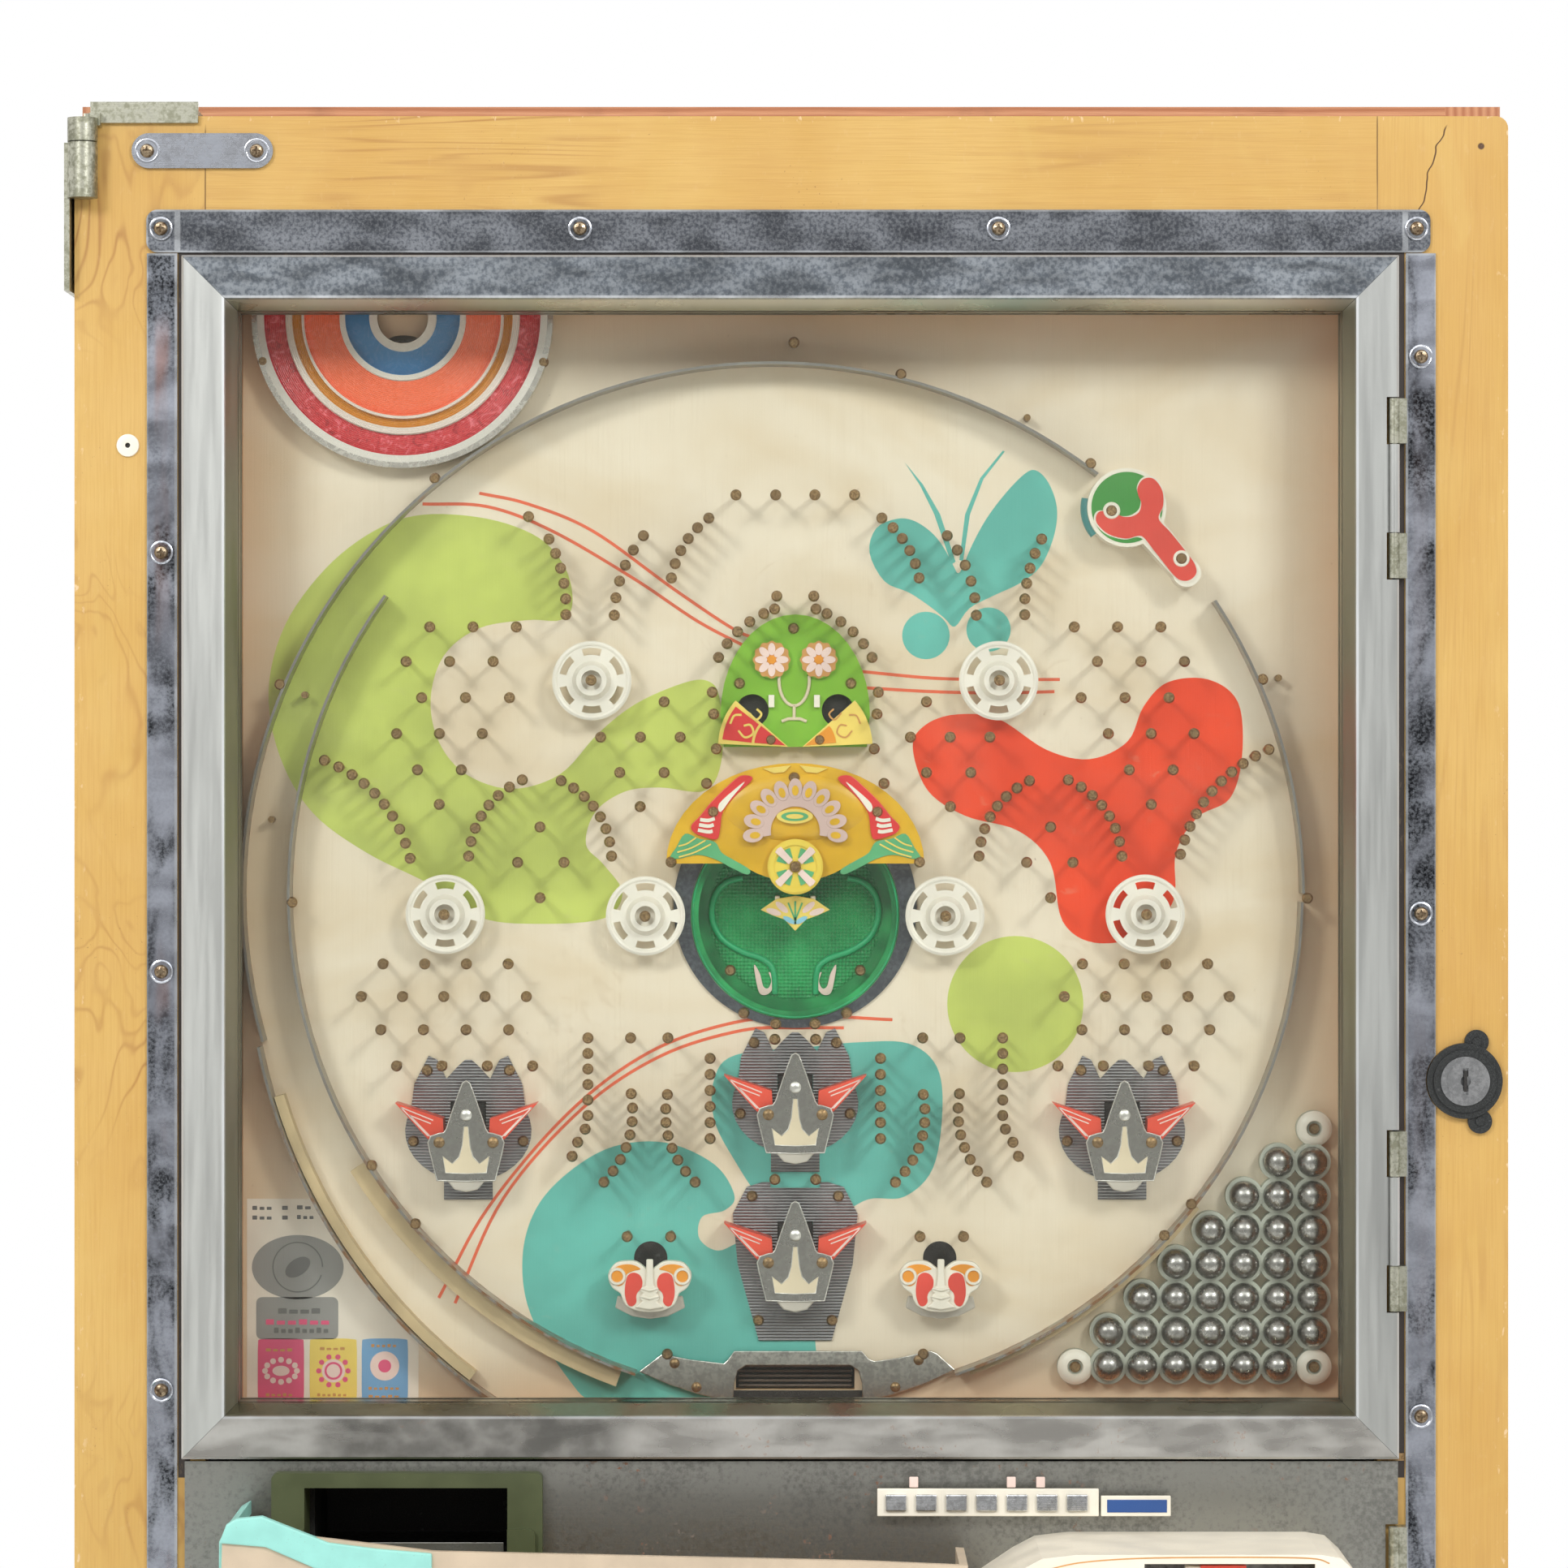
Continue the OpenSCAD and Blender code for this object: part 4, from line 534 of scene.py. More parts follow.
use("olive", plastic, "olive_moulding", rgb(78, 86, 54), 0.42, 0.14)
use("tray", plastic, "tray_beige", rgb(198, 180, 156), 0.42, 0.1)
use("cover", plastic, "cover_cream", rgb(239, 231, 213), 0.36, 0.05)
use("mech", metal, "mech_zinc", rgb(176, 180, 178), rgb(130, 134, 132), (0.28, 0.45), 16, 0.3, rust=0.3)
use("dark", dark_cast, "dark_hole", rgb(26, 24, 22), 0.6)
use("cup", plastic, "lip_grey", rgb(196, 190, 178), 0.24, 0.1)
use("turquoise", plastic, "turquoise_moulding", rgb(150, 214, 204), 0.34, 0.1)

looks = {"outer": "outer_frame", "door": "door_frame", "box": "inner_box", "board": "playfield_board",
    "zinc": "frame_hinges door_hinge_leaves side_hinges", "plate": "mending_plate", "trim": "trim_strips",
    "screw": "face_screws", "escutcheon": "lock_escutcheon", "rails": "guide_rails", "ledge": "lane_ledges",
    "nails": "playfield_nails", "lens": "lamp_lens", "white": "return_bumper", "green": "dome_ornament",
    "yellow": "canopy_ornament", "dish": "green_dish", "grey": "dish_surround", "paleyellow": "spinner",
    "tulip": "tulip_front_plates", "ribbed": "tulip_back_plates", "cream": "pocket_cups", "outhole": "out_hole_plate",
    "rack": "ball_rack", "balls": "steel_balls", "glassdoor": "glass_frame", "panes": "glass_panes",
    "panel": "tray_door_plate lower_panel", "olive": "payout_bezel", "tray": "upper_tray lower_tray",
    "cover": "tray_cover", "red": "release_slide", "chrome": "lock_cylinder ashtray shooter_base shooter_lever",
    "mech": "lock_bar shooter_hammer shooter_spring mech_panel ball_tank payout_unit"}
worn_by = {node: look for look, names in looks.items() for node in names.split()}
for name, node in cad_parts.items():
    if name.startswith("windmill"):
        worn_by[name] = "cream"
    elif name.startswith("tulip") and "_wing_" in name:
        worn_by[name] = "red"
    node.data.materials[0] = finish[worn_by[name]]


# ---------- shapes ----------

def place(name, verts, faces, look, body=DOOR, smooth=0, bevel=0):
    """A mesh piece from millimetre vertices; smooth is the angle below which edges are shaded round."""
    mesh = bpy.data.meshes.new(name)
    mesh.from_pydata([Vector(v) * MM for v in verts], [], faces)
    edit = bmesh.new()
    edit.from_mesh(mesh)
    bmesh.ops.recalc_face_normals(edit, faces=edit.faces)
    edit.to_mesh(mesh)
    edit.free()
    mesh.materials.append(finish[look])
    if smooth:
        mesh.polygons.foreach_set("use_smooth", [True] * len(mesh.polygons))
        mesh.set_sharp_from_angle(angle=math.radians(smooth))
    obj = bpy.data.objects.new(name, mesh)
    bpy.context.scene.collection.objects.link(obj)
    if bevel:
        mod = obj.modifiers.new("edge", "BEVEL")
        mod.width = bevel * MM
        mod.segments = 2
        mod.limit_method = "ANGLE"
        mod.angle_limit = math.radians(50)
    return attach(obj, body)


def slabs(name, outlines, front, back, look, body=DOOR, origin=PLAY, **more):
    """Flat pieces facing the player, one per outline, joined in one mesh."""
    verts, faces = [], []
    for outline in outlines:
        start, n = len(verts), len(outline)
        for y in (front, back):
            verts += [(origin[0] + x, y, origin[1] + z) for x, z in outline]
        faces.append([start + i for i in range(n)])
        faces.append([start + n + i for i in reversed(range(n))])
        faces += [[start + i, start + (i + 1) % n, start + n + (i + 1) % n, start + n + i] for i in range(n)]
    return place(name, verts, faces, look, body, **more)


def spline(points, steps=6, closed=True):
    """A smooth line through points."""
    pts = [Vector(p) for p in points]
    n = len(pts)
    out = []
    for i in range(n if closed else n - 1):
        if closed:
            a, b, c, d = (pts[(i + k) % n] for k in (-1, 0, 1, 2))
        else:
            b, c = pts[i], pts[i + 1]
            a = pts[i - 1] if i else b * 2 - c
            d = pts[i + 2] if i + 2 < n else c * 2 - b
        for s in range(steps):
            t = s / steps
            out.append(0.5 * (2 * b + (c - a) * t + (2 * a - 5 * b + 4 * c - d) * t * t + (3 * b - a - 3 * c
                + d) * t ** 3))
    if not closed:
        out.append(pts[-1])
    return out


def stroke(points, width, steps=8):
    """Outline of a brushed line through points."""
    line = spline(points, steps, False)
    left, right = [], []
    for i, p in enumerate(line):
        d = (line[min(i + 1, len(line) - 1)] - line[max(i - 1, 0)]).normalized()
        side = Vector((-d.y, d.x)) * width / 2
        left.append(p + side)
        right.append(p - side)
    return left + right[::-1]


def turned(points, angle, x=0, z=0):
    """Points turned about the origin, then moved."""
    c, s = math.cos(angle), math.sin(angle)
    return [(x + a * c - b * s, z + a * s + b * c) for a, b in points]


def at(radius, degrees, x=0, z=0):
    """A point on a circle about (x, z)."""
    a = math.radians(degrees)
    return x + radius * math.cos(a), z + radius * math.sin(a)


def disc(x, z, rx, rz=None, n=32, turn=0, wave=0, waves=0):
    """Outline of a circle or ellipse; wave scallops its edge."""
    ring = []
    for i in range(n):
        a = TAU * i / n
        r = 1 + wave * math.cos(waves * a)
        ring.append((rx * r * math.cos(a), (rz or rx) * r * math.sin(a)))
    return turned(ring, turn, x, z)


def sector(x, z, r_in, r_out, lo, hi, n=16):
    """Outline of a ring sector; r_in 0 gives a pie slice."""
    angles = [lo + (hi - lo) * i / n for i in range(n + 1)]
    outer = [at(r_out, a, x, z) for a in angles]
    return outer + [at(r_in, a, x, z) for a in reversed(angles)] if r_in else [(x, z)] + outer


def flip(outline):
    return [(-x, z) for x, z in reversed(outline)]


def pair(outline):
    return [outline, flip(outline)]


def whole(half):
    """A right half closed by its mirror image; points on the axis are used once."""
    return half + [(-x, z) for x, z in half[-2::-1] if x]


def box(x0, x1, z0, z1, r=0, n=4):
    """Rectangle outline with round corners."""
    if not r:
        return [(x0, z0), (x1, z0), (x1, z1), (x0, z1)]
    corners = ((x1 - r, z0 + r, 270), (x1 - r, z1 - r, 0), (x0 + r, z1 - r, 90), (x0 + r, z0 + r, 180))
    return [at(r, start + 90 * i / n, cx, cz) for cx, cz, start in corners for i in range(n + 1)]


def lathe(name, profile, x, z, look, body=DOOR, origin=PLAY, n=40, **more):
    """Turned piece about a line along Y; profile holds (radius, y) pairs, and radius 0 closes an end."""
    verts, faces, rings = [], [], []
    for r, y in profile:
        if r == 0:
            rings.append([len(verts)])
            verts.append((origin[0] + x, y, origin[1] + z))
        else:
            rings.append(list(range(len(verts), len(verts) + n)))
            verts += [(origin[0] + x + r * math.cos(TAU * i / n), y, origin[1] + z + r * math.sin(TAU * i / n))
                for i in range(n)]
    for a, b in zip(rings, rings[1:]):
        for i in range(n):
            face = [a[i % len(a)], a[(i + 1) % len(a)], b[(i + 1) % len(b)], b[i % len(b)]]
            faces.append(list(dict.fromkeys(face)))
    if profile[0][0] and profile[-1][0]:
        faces += [[rings[-1][i], rings[-1][(i + 1) % n], rings[0][(i + 1) % n], rings[0][i]] for i in range(n)]
    return place(name, verts, faces, look, body, **{"smooth": 40, **more})


def tubes(name, paths, radius, look, body=DOOR, origin=PLAY, n=10, closed=False, **more):
    """Round wires along paths of (x, y, z) points, joined in one mesh."""
    verts, faces = [], []
    shift = Vector((origin[0], 0, origin[1]))
    for path in paths:
        pts = [Vector(p) + shift for p in path]
        m, start = len(pts), len(verts)
        for i, p in enumerate(pts):
            ahead = pts[(i + 1) % m] if closed or i + 1 < m else p
            behind = pts[i - 1] if closed or i else p
            d = (ahead - behind).normalized()
            u = d.cross(Vector((0, 1, 0)))
            u = u.normalized() if u.length > 0.05 else d.cross(Vector((0, 0, 1))).normalized()
            w = d.cross(u)
            verts += [p + (u * math.cos(TAU * k / n) + w * math.sin(TAU * k / n)) * radius for k in range(n)]
        for i in range(m if closed else m - 1):
            a, b = start + i * n, start + (i + 1) % m * n
            faces += [[a + k, a + (k + 1) % n, b + (k + 1) % n, b + k] for k in range(n)]
        if not closed:
            faces += [[start + k for k in reversed(range(n))], [start + (m - 1) * n + k for k in range(n)]]
    return place(name, verts, faces, look, body, **{"smooth": 50, **more})


def blocks(name, boxes, look, body=DOOR, **more):
    """Boxes given by their limits (x0, x1, y0, y1, z0, z1), with rounded edges."""
    verts, faces = [], []
    for x0, x1, y0, y1, z0, z1 in boxes:
        s = len(verts)
        verts += [(x, y, z) for z in (z0, z1) for x, y in ((x0, y0), (x1, y0), (x1, y1), (x0, y1))]
        faces += [[s + k for k in f] for f in ((3, 2, 1, 0), (4, 5, 6, 7), (0, 1, 5, 4), (1, 2, 6, 5), (2, 3, 7, 6),
            (3, 0, 4, 7))]
    return place(name, verts, faces, look, body, **{"bevel": 0.4, **more})


def wires(points, y):
    """Flat points as (x, y, z) at one depth."""
    return [(x, y, z) for x, z in points]


# ---------- printed shapes on the playfield ----------

def ink(name, colour):
    """Screen-printed paint: slightly uneven, rubbed where balls roll."""
    g = Graph(name)
    fade = 0.12
    low = g.noise(34, 3)
    tone = g.mix(g.ease(low, 0.3, 0.7), tuple(c * (1 - fade) for c in colour), tuple(min(1, c * (1 + fade))
        for c in colour))
    rub = g.mul(g.ease(g.noise((7, 7, 4), 4, 0.6, 1), 0.6, 0.74), g.ease(low, 0.4, 0.6))
    tone = g.mix(g.mul(rub, 0.16), tone, rgb(214, 196, 164))
    fibre = g.noise((0.7, 3, 34), 3, 0.6)
    return g.surface(tone, 0, 0.4, g.bump(fibre, 0.04), Coat_Weight=0.2, Coat_Roughness=0.3)


INKS = {"lime": (196, 210, 104), "flame": (252, 72, 26), "teal": (104, 192, 178), "brick": (234, 108, 72),
    "paper": (236, 228, 212), "rose": (228, 90, 130), "lemon": (240, 214, 106), "sky": (120, 170, 212), "pearl": (240,
    214, 204), "lilac": (214, 186, 178), "ivory": (240, 234, 218), "leaf": (92, 176, 120), "rubber": (70, 150, 150),
    "amber": (232, 150, 40), "scarlet": (222, 50, 50), "moss": (60, 150, 60), "rosso": (226, 74, 60), "navy": (44, 84,
    150), "steelgrey": (150, 150, 146), "greymark": (112, 112, 110), "mint": (30, 168, 108), "paleblue": (140, 200,
    220), "tan": (206, 150, 84), "stem": (222, 208, 178), "umber": (92, 78, 66)}
for key, shade in INKS.items():
    use(key, ink, "ink_" + key, rgb(*shade))

PRINT = (BOARD_Y - 0.07, BOARD_Y)
lime_blob = [(-138, 140), (-114, 138.5), (-95, 131.5), (-85, 120), (-82.5, 107), (-87, 101), (-99, 101), (-117, 98),
    (-130, 88), (-135, 72), (-132, 56), (-122, 44), (-105, 38.5), (-87, 44), (-73, 59), (-59, 70), (-42, 77.5),
    (-32.5, 78.5), (-28, 72), (-27, 51), (-33, 38), (-50, 39), (-63, 37.5), (-74, 30), (-77.5, 18), (-71, 10.5),
    (-64, 0), (-71, -9.5), (-96, -11.5), (-117, -9), (-135, 3), (-159, 15), (-179, 30), (-191, 51), (-195, 75),
    (-189, 99), (-174, 120), (-156, 134)]
slabs("print_lime", [spline(lime_blob), disc(81.5, -41.2, 25.2, n=64)], *PRINT, "lime")
flame_blob = [(43.5, 54), (48, 62), (59, 66), (75, 64.5), (93, 53), (109, 49.5), (123, 56), (129, 69), (138, 78),
    (153, 79), (164, 70.5), (165.5, 51), (161, 35), (149, 28), (141, 15), (140, -3), (129, -15.5), (111, -18.5),
    (99, -10.5), (94.5, 11), (82.5, 23), (63, 28.5), (49, 38)]
slabs("print_flame", [spline(flame_blob)], *PRINT, "flame")
wings = [(59.2, 98.6), (64.6, 105.4), (73.6, 110.1), (83.5, 114.8), (90.7, 120.7), (95.2, 130.1), (97, 139.2),
    (96.1, 146.4), (93, 153.1), (88.9, 156.5), (84.9, 155.1), (78.1, 148.2), (70.9, 138.7), (65.5, 128.8),
    (61.9, 120.4), (60.2, 118.4), (58.6, 121.1), (54.7, 128.3), (50.2, 133.7), (43.9, 137.8), (37.6, 138.5), (30, 135),
    (27.5, 126), (33.1, 115.3), (42.1, 111.2), (50.2, 105.8), (55.4, 101.6)]
pool = [(-84, -103.5), (-67.5, -94), (-48, -92.5), (-30, -100.5), (-22.5, -112), (-26, -117.5), (-34.5, -120),
    (-35.5, -128), (-28.5, -132.5), (-18, -129), (-6, -135), (3, -150), (7.5, -167), (4, -173.4), (-22, -173.8),
    (-27, -180), (-29, -188.8), (-39, -189.2), (-72, -189), (-84, -180), (-98, -156), (-101, -135), (-96, -117)]
brook = [(-30, -69), (-22, -60), (6, -57), (24, -55.3), (42, -55.8), (52.5, -64.5), (54.5, -81), (51, -102),
    (40.5, -112.5), (27, -113.5), (15, -120), (1.5, -123), (-12, -114), (-22.5, -99), (-30, -84)]
slabs("print_teal", [spline(wings, 4), disc(48.4, 95.3, 8.8), disc(71.6, 97.5, 8.2), spline(pool), spline(brook)],
    *PRINT, "teal")
slabs("print_feelers", [[(40.4, 159.6), (46.2, 150.9), (51.4, 140.4), (57.9, 121.6), (59.4, 122.6), (53.7, 140.1),
    (47.3, 151.2)], [(76.9, 163.8), (68.5, 153.6), (62.9, 140.1), (60.8, 123.2), (62.2, 122.9), (64.7, 140.1),
    (69.7, 153.2), (77.6, 163.4)]], BOARD_Y - 0.1, BOARD_Y, "teal")
brush_lines = [[(-138, 144), (-114, 143), (-90, 134), (-60, 116.5), (-36, 100.5), (-16, 90)], [(-117, 148), (-99, 144),
    (-75, 134), (-45, 112.5), (-22.5, 97.5), (-13, 94)], [(24, 82), (51, 79.5), (75, 79), (98, 79)], [(24.5, 76),
    (51, 74.5), (75, 74), (96, 74.5)], [(-132, -150), (-114, -117), (-84, -81.5), (-54, -59), (-22.5, -48), (6, -45.7),
    (36, -47)], [(-126, -152), (-108, -113), (-79, -80), (-50, -60.5), (-20, -51), (2, -50), (18, -50)]]
slabs("print_lines", [stroke(line, 1.15) for line in brush_lines], BOARD_Y - 0.1, BOARD_Y, "brick")

# Balls that fall behind the playfield run in a track plate, near black as painted shade behind the board
TULIPS = {"left": (-121, -89.8), "right": (121, -89.8), "centre": (0, -79.6), "lower": (0, -134)}
back_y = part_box("playfield_board")[1].y / MM
slabs("ball_track_plate", [box(-150, 150, -185, 110, 12)], back_y + 0.4, back_y + 3.4, "dark", bevel=0.6)
blocks("ball_track_ribs", [(PLAY.x + x - 1.5, PLAY.x + x + 1.5, back_y + 3.2, back_y + 9, PLAY.y - 180, PLAY.y + z)
    for x, z in ((-140, -60), (-100, -40), (-20, 60), (20, 60), (100, -40), (140, -60))], "dark")
# Near-black discs over the ball holes are painted shade
holes = [box(t[0] - 6.5, t[0] + 6.5, t[1] + 1.6, t[1] + 12.4) for t in TULIPS.values()]
holes += pair(disc(53.5, -135.2, 6.2)) + pair(disc(15.8, 67.5, 5.9))
slabs("ball_hole_shade_discs", holes, BOARD_Y - 0.16, BOARD_Y - 0.02, "dark")
slabs("out_hole_grille", [box(-21, 21, z, z + 0.9, 0.4) for z in (-183.2, -181.4, -179.6, -177.8, -176)], BOARD_Y + 3,
    BOARD_Y + 8, "umber", bevel=0.3)
# A near-black sheet behind the out hole is painted shade
slabs("out_hole_shade_back", [box(-24, 24, -187, -171.5)], BOARD_Y + 7.5, BOARD_Y + 9, "dark")

# Return bumper: a white moulding with two inlaid colours and a rubber pad
head = Vector((122, 142))
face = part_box("return_bumper")[0].y / MM
inlay = [(3.6, 7.6), (5.2, 10.6), (8, 11.7), (10.7, 10.6), (13.3, 6.6), (13.7, 1.2), (12.2, -3.6), (16.4, -9),
    (21, -15), (25.2, -20.8), (26, -24.6), (23.6, -27.2), (20.2, -27.4), (17.2, -25.2), (10.8, -17.4), (5, -11.2),
    (-1, -11.8), (-7.4, -10), (-11.4, -6.4), (-12.2, -3.6), (-11, -1.4), (-8.2, -1.2), (-4.2, -2.4), (-1.6, -3.2),
    (1.4, -2.8), (4.2, -0.8), (5, 2.4), (4, 5)]
slabs("bumper_green", [disc(head.x, head.y, 13.1, n=56)], face - 0.2, face, "moss")
slabs("bumper_red_edge", [[head + Vector(p) for p in spline(inlay)]], face - 0.3, face - 0.1, "ivory")
middle = Vector((7.5, -7))
slabs("bumper_red", [[head + Vector(p) - (Vector(p) - middle).normalized() * 0.75 for p in spline(inlay)]],
    face - 0.55, face - 0.1, "rosso")
for i, (x, z) in enumerate(((116.3, 140.8), (142, 123.2))):
    lathe(f"bumper_collar_{i}", [(2, face - 0.8), (2.8, face - 0.8), (3.2, face - 0.4), (3.2, face), (2, face)], x, z,
        "white")
tubes("bumper_rubber", [wires([at(14.4, a, *head) for a in range(166, 222, 6)], face + 7)], 2.4, "rubber")

# Dome: rosettes, fans and a stem between them
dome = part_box("dome_ornament")[0].y / MM
plate = dome + 4
slabs("rosettes", pair(disc(8.7, 86.2, 6.7, n=72, wave=0.05, waves=12)), plate - 1.9, plate - 1.45, "tan")
slabs("rosette_petals", [p for d in range(0, 360, 45) for p in pair(disc(*at(3.9, d, 8.7, 86.2), 2.3, 1.35, 18,
    math.radians(d)))], plate - 2.15, plate - 1.8, "pearl")
for tag, x in (("left", -8.7), ("right", 8.7)):
    lathe(f"rosette_hub_{tag}", [(0, plate - 2.6), (1.5, plate - 2.4), (1.9, plate - 1.8)], x, 86.2, "amber")
slabs("fans", pair(sector(2.6, 54, 0, 25.9, 2.4, 41.5)), dome - 0.35, dome + 0.2, "lemon", bevel=0.12)
slabs("fan_red", [flip(sector(3.6, 54.5, 0, 11.5, 5, 39)), flip(sector(2.6, 54, 13.6, 24.4, 6.5, 37.5))], dome - 0.55,
    dome - 0.3, "scarlet")
slabs("fan_amber", [sector(3.6, 54.5, 0, 11.5, 5, 39)], dome - 0.55, dome - 0.3, "amber")
curls = [[(-21, 60), (-18.5, 57.5), (-15.5, 59), (-16.5, 62), (-19, 61.8)], [(-17, 66.5), (-14.5, 64), (-12.5, 66),
    (-14.2, 68)], [(-24, 62.5), (-22.5, 65.5), (-19.8, 65.8)]]
slabs("fan_curls", [stroke(c, 0.8) for c in curls], dome - 0.75, dome - 0.5, "lemon")
slabs("fan_veins", [stroke([(-x, z) for x, z in c], 0.6) for c in curls], dome - 0.6, dome - 0.3, "tan")
slabs("dome_posts", [box(-9.9, -7.7, 68.6, 73.2), box(6.9, 9.1, 68.6, 73.2)], plate - 2.6, plate, "ivory", bevel=0.2)
goblet = [(5.6 * math.cos(math.radians(a)) - 0.4, plate - 0.4, 78.6 + 9.4 * math.sin(math.radians(a)))
    for a in range(-190, 11, 10)]
tubes("dome_goblet", [goblet, [(-0.4, plate - 0.4, 69.5), (-0.4, plate - 0.4, 64.6)], [(-5, plate - 0.4, 63.4),
    (-2.6, plate - 0.4, 64.4), (1.8, plate - 0.4, 64.4), (4.2, plate - 0.4, 63.4)]], 0.62, "stem")

# Canopy: a swelling middle, scalloped band, medallion, horns and finned tips
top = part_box("canopy_ornament")[0].y / MM
verts, faces, rows, around = [], [], 8, 48
for i in range(rows + 1):
    t = i / rows
    for k in range(around):
        a = TAU * k / around
        verts.append((PLAY.x + 26.5 * t * math.cos(a), top + 0.1 - 2.4 * math.sqrt(max(0, 1 - t * t)), PLAY.y + 31.5
            + 12.4 * t * math.sin(a)))
for i in range(rows):
    for k in range(around):
        faces.append([i * around + k, i * around + (k + 1) % around, (i + 1) * around + (k + 1) % around,
            (i + 1) * around + k])
faces.append([rows * around + k for k in reversed(range(around))])
faces = [list(dict.fromkeys(f if min(f) >= around else [v if v >= around else 0 for v in f])) for f in faces]
used = sorted({v for f in faces for v in f})
place("canopy_swell", [verts[v] for v in used], [[used.index(v) for v in f] for f in faces if len(f) > 2], "yellow",
    smooth=60)
around_band = [-6 + 19.2 * k for k in range(11)]
petals = [disc(*at(15.6, d, 0, 23), 3.8, 2.55, 24, math.radians(d)) for d in around_band]
eyes = [disc(*at(14.9, d, 0, 23), 1.9, 1.25, 18, math.radians(d)) for d in around_band]
slabs("canopy_band", [sector(0, 23, 9, 14.2, -10, 190, 40)], top - 2.85, top - 0.2, "lilac", bevel=0.15)
slabs("canopy_petals", petals, top - 3.1, top - 0.2, "lilac", bevel=0.15)
slabs("canopy_band_eyes", eyes, top - 3.25, top - 3, "yellow")
slabs("medallion", [disc(-0.2, 28.4, 6.7, 2.7, 40)], top - 3.9, top - 2.6, "lemon", bevel=0.2)
slabs("medallion_ring", [disc(-0.2, 28.4, 5, 1.7, 32)], top - 4.05, top - 3.7, "leaf")
slabs("medallion_middle", [disc(-0.2, 28.4, 3.2, 0.9, 24)], top - 4.2, top - 3.9, "lemon")
horn = [(15.6, 42.2), (20, 43.4), (25, 39.5), (31, 33.6), (35, 28.6), (38.3, 25), (37.2, 22.4), (33.5, 20.8),
    (28.8, 20), (27.6, 24), (26.6, 30), (22, 36)]
slabs("canopy_horns", pair(spline(horn, 4)), top - 1.2, top + 0.2, "scarlet", bevel=0.25)
slabs("canopy_horn_inlay", pair(spline([(18.6, 41), (22, 38.6), (28, 33), (27.4, 30), (23.6, 35)], 4))
    + [p for k in range(3) for p in pair(stroke([(29.6 + 0.4 * k, 27.6 - 2.3 * k), (32, 26.9 - 2.1 * k), (35 + 0.4 * k,
    27.2 - 1.9 * k)], 1.3))], top - 1.45, top - 1.1, "ivory")
fin = [(40.5, 22), (43.8, 17), (46, 13.4), (43, 12.8), (36, 14.2), (29.5, 12.6), (23, 9.2), (17.8, 7), (16.8, 8.8),
    (22, 12), (27, 15), (29.6, 19), (35.4, 20.2)]
slabs("canopy_fins", pair(spline(fin, 4)), top - 0.5, top + 0.2, "leaf", bevel=0.15)
slabs("canopy_fin_lines", [p for a, b in (((31, 18.2), (42.8, 13.4)), ((33, 19.6), (43.4, 15.2)), ((36.5, 20.6),
    (43, 17.4))) for p in pair(stroke([a, ((a[0] + b[0]) / 2, (a[1] + b[1]) / 2 - 0.6), b], 0.55))], top - 0.75,
    top - 0.4, "lemon")
slabs("canopy_brow", pair([(1.5, 47.2), (12, 46), (8, 44.2), (4, 44.6)]), top - 0.9, top + 0.2, "lemon", bevel=0.25)

# Spinner: green ground and a cross of four blades
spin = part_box("spinner")[0].y / MM
quarter = [sector(0, 9.9, 3.4, 7.2, a + 16, a + 74, 8) for a in (0, 90, 180, 270)]
slabs("spinner_ground", quarter, spin + 0.35, spin + 0.65, "leaf", "spinner")
blade = [(2.3, -1.1), (9, -1.5), (9.4, 0), (9, 1.5), (2.3, 1.1)]
blades = [turned(blade, math.radians(a), 0, 9.9) for a in (45, 135, 225, 315)]
slabs("spinner_blades", blades, spin - 0.35, spin + 0.6, "pearl", "spinner", bevel=0.2)

# Dish: raised ribs, shell badge on posts, leaf marks
floor_y = BOARD_Y + 12.3
rib = [(-19.6, 5.4), (-25, 4), (-29, 0.4), (-31, -5), (-30.6, -11.5), (-27, -17.7), (-20, -22.2), (-13, -24.6),
    (-9, -27.6), (-7.8, -32), (-7.6, -38)]
line = [tuple(p) for p in spline(rib, 6, False)]
tubes("dish_ribs", [wires(line, floor_y), wires([(-x, z) for x, z in line], floor_y)], 1.25, "mint")
shell = [(-12.8, -6.2), (-7, -2.2), (0, -1), (7, -2.2), (12.8, -6.2), (8.5, -8.2), (4, -9.8), (0, -14), (-4, -9.8),
    (-8.5, -8.2)]
slabs("shell_badge", [shell], BOARD_Y - 4.2, BOARD_Y - 2.6, "lemon", bevel=0.25)
leaves = [disc(s * r * math.sin(t), -9.6 + r * math.cos(t), 2.9, 1.15, 18, math.pi / 2 - s * t) for s in (-1, 1) for t,
    r in ((1.25, 8.4), (0.85, 6.6))]
slabs("shell_petals", leaves, BOARD_Y - 4.45, BOARD_Y - 4.1, "pearl")
slabs("shell_drops", [disc(s * 2.2, -10, 2.6, 0.95, 16, s * 0.5) for s in (-1, 1)], BOARD_Y - 4.45, BOARD_Y - 4.1,
    "paleblue")
slabs("shell_stem", [stroke([(0, -11.5), (0, -3)], 0.7), stroke([(0, -10), (-2.6, -3.6)], 0.6),
    stroke([(0, -10), (2.6, -3.6)], 0.6)], BOARD_Y - 4.45, BOARD_Y - 4.1, "leaf")
blocks("shell_posts", [(PLAY.x + x - 0.9, PLAY.x + x + 0.9, BOARD_Y - 3.4, floor_y + 0.2, PLAY.y - 4.4, PLAY.y - 1.2)
    for x in (-6.6, 6.6)], "white")
mark = [(-14.8, -27.6), (-12.6, -31), (-11.4, -35.6), (-9.6, -36.4), (-8.4, -33.6), (-9.4, -30.4), (-7.9, -31.6),
    (-7.4, -35.4), (-9.6, -38.6), (-12.6, -38.4), (-14, -34)]
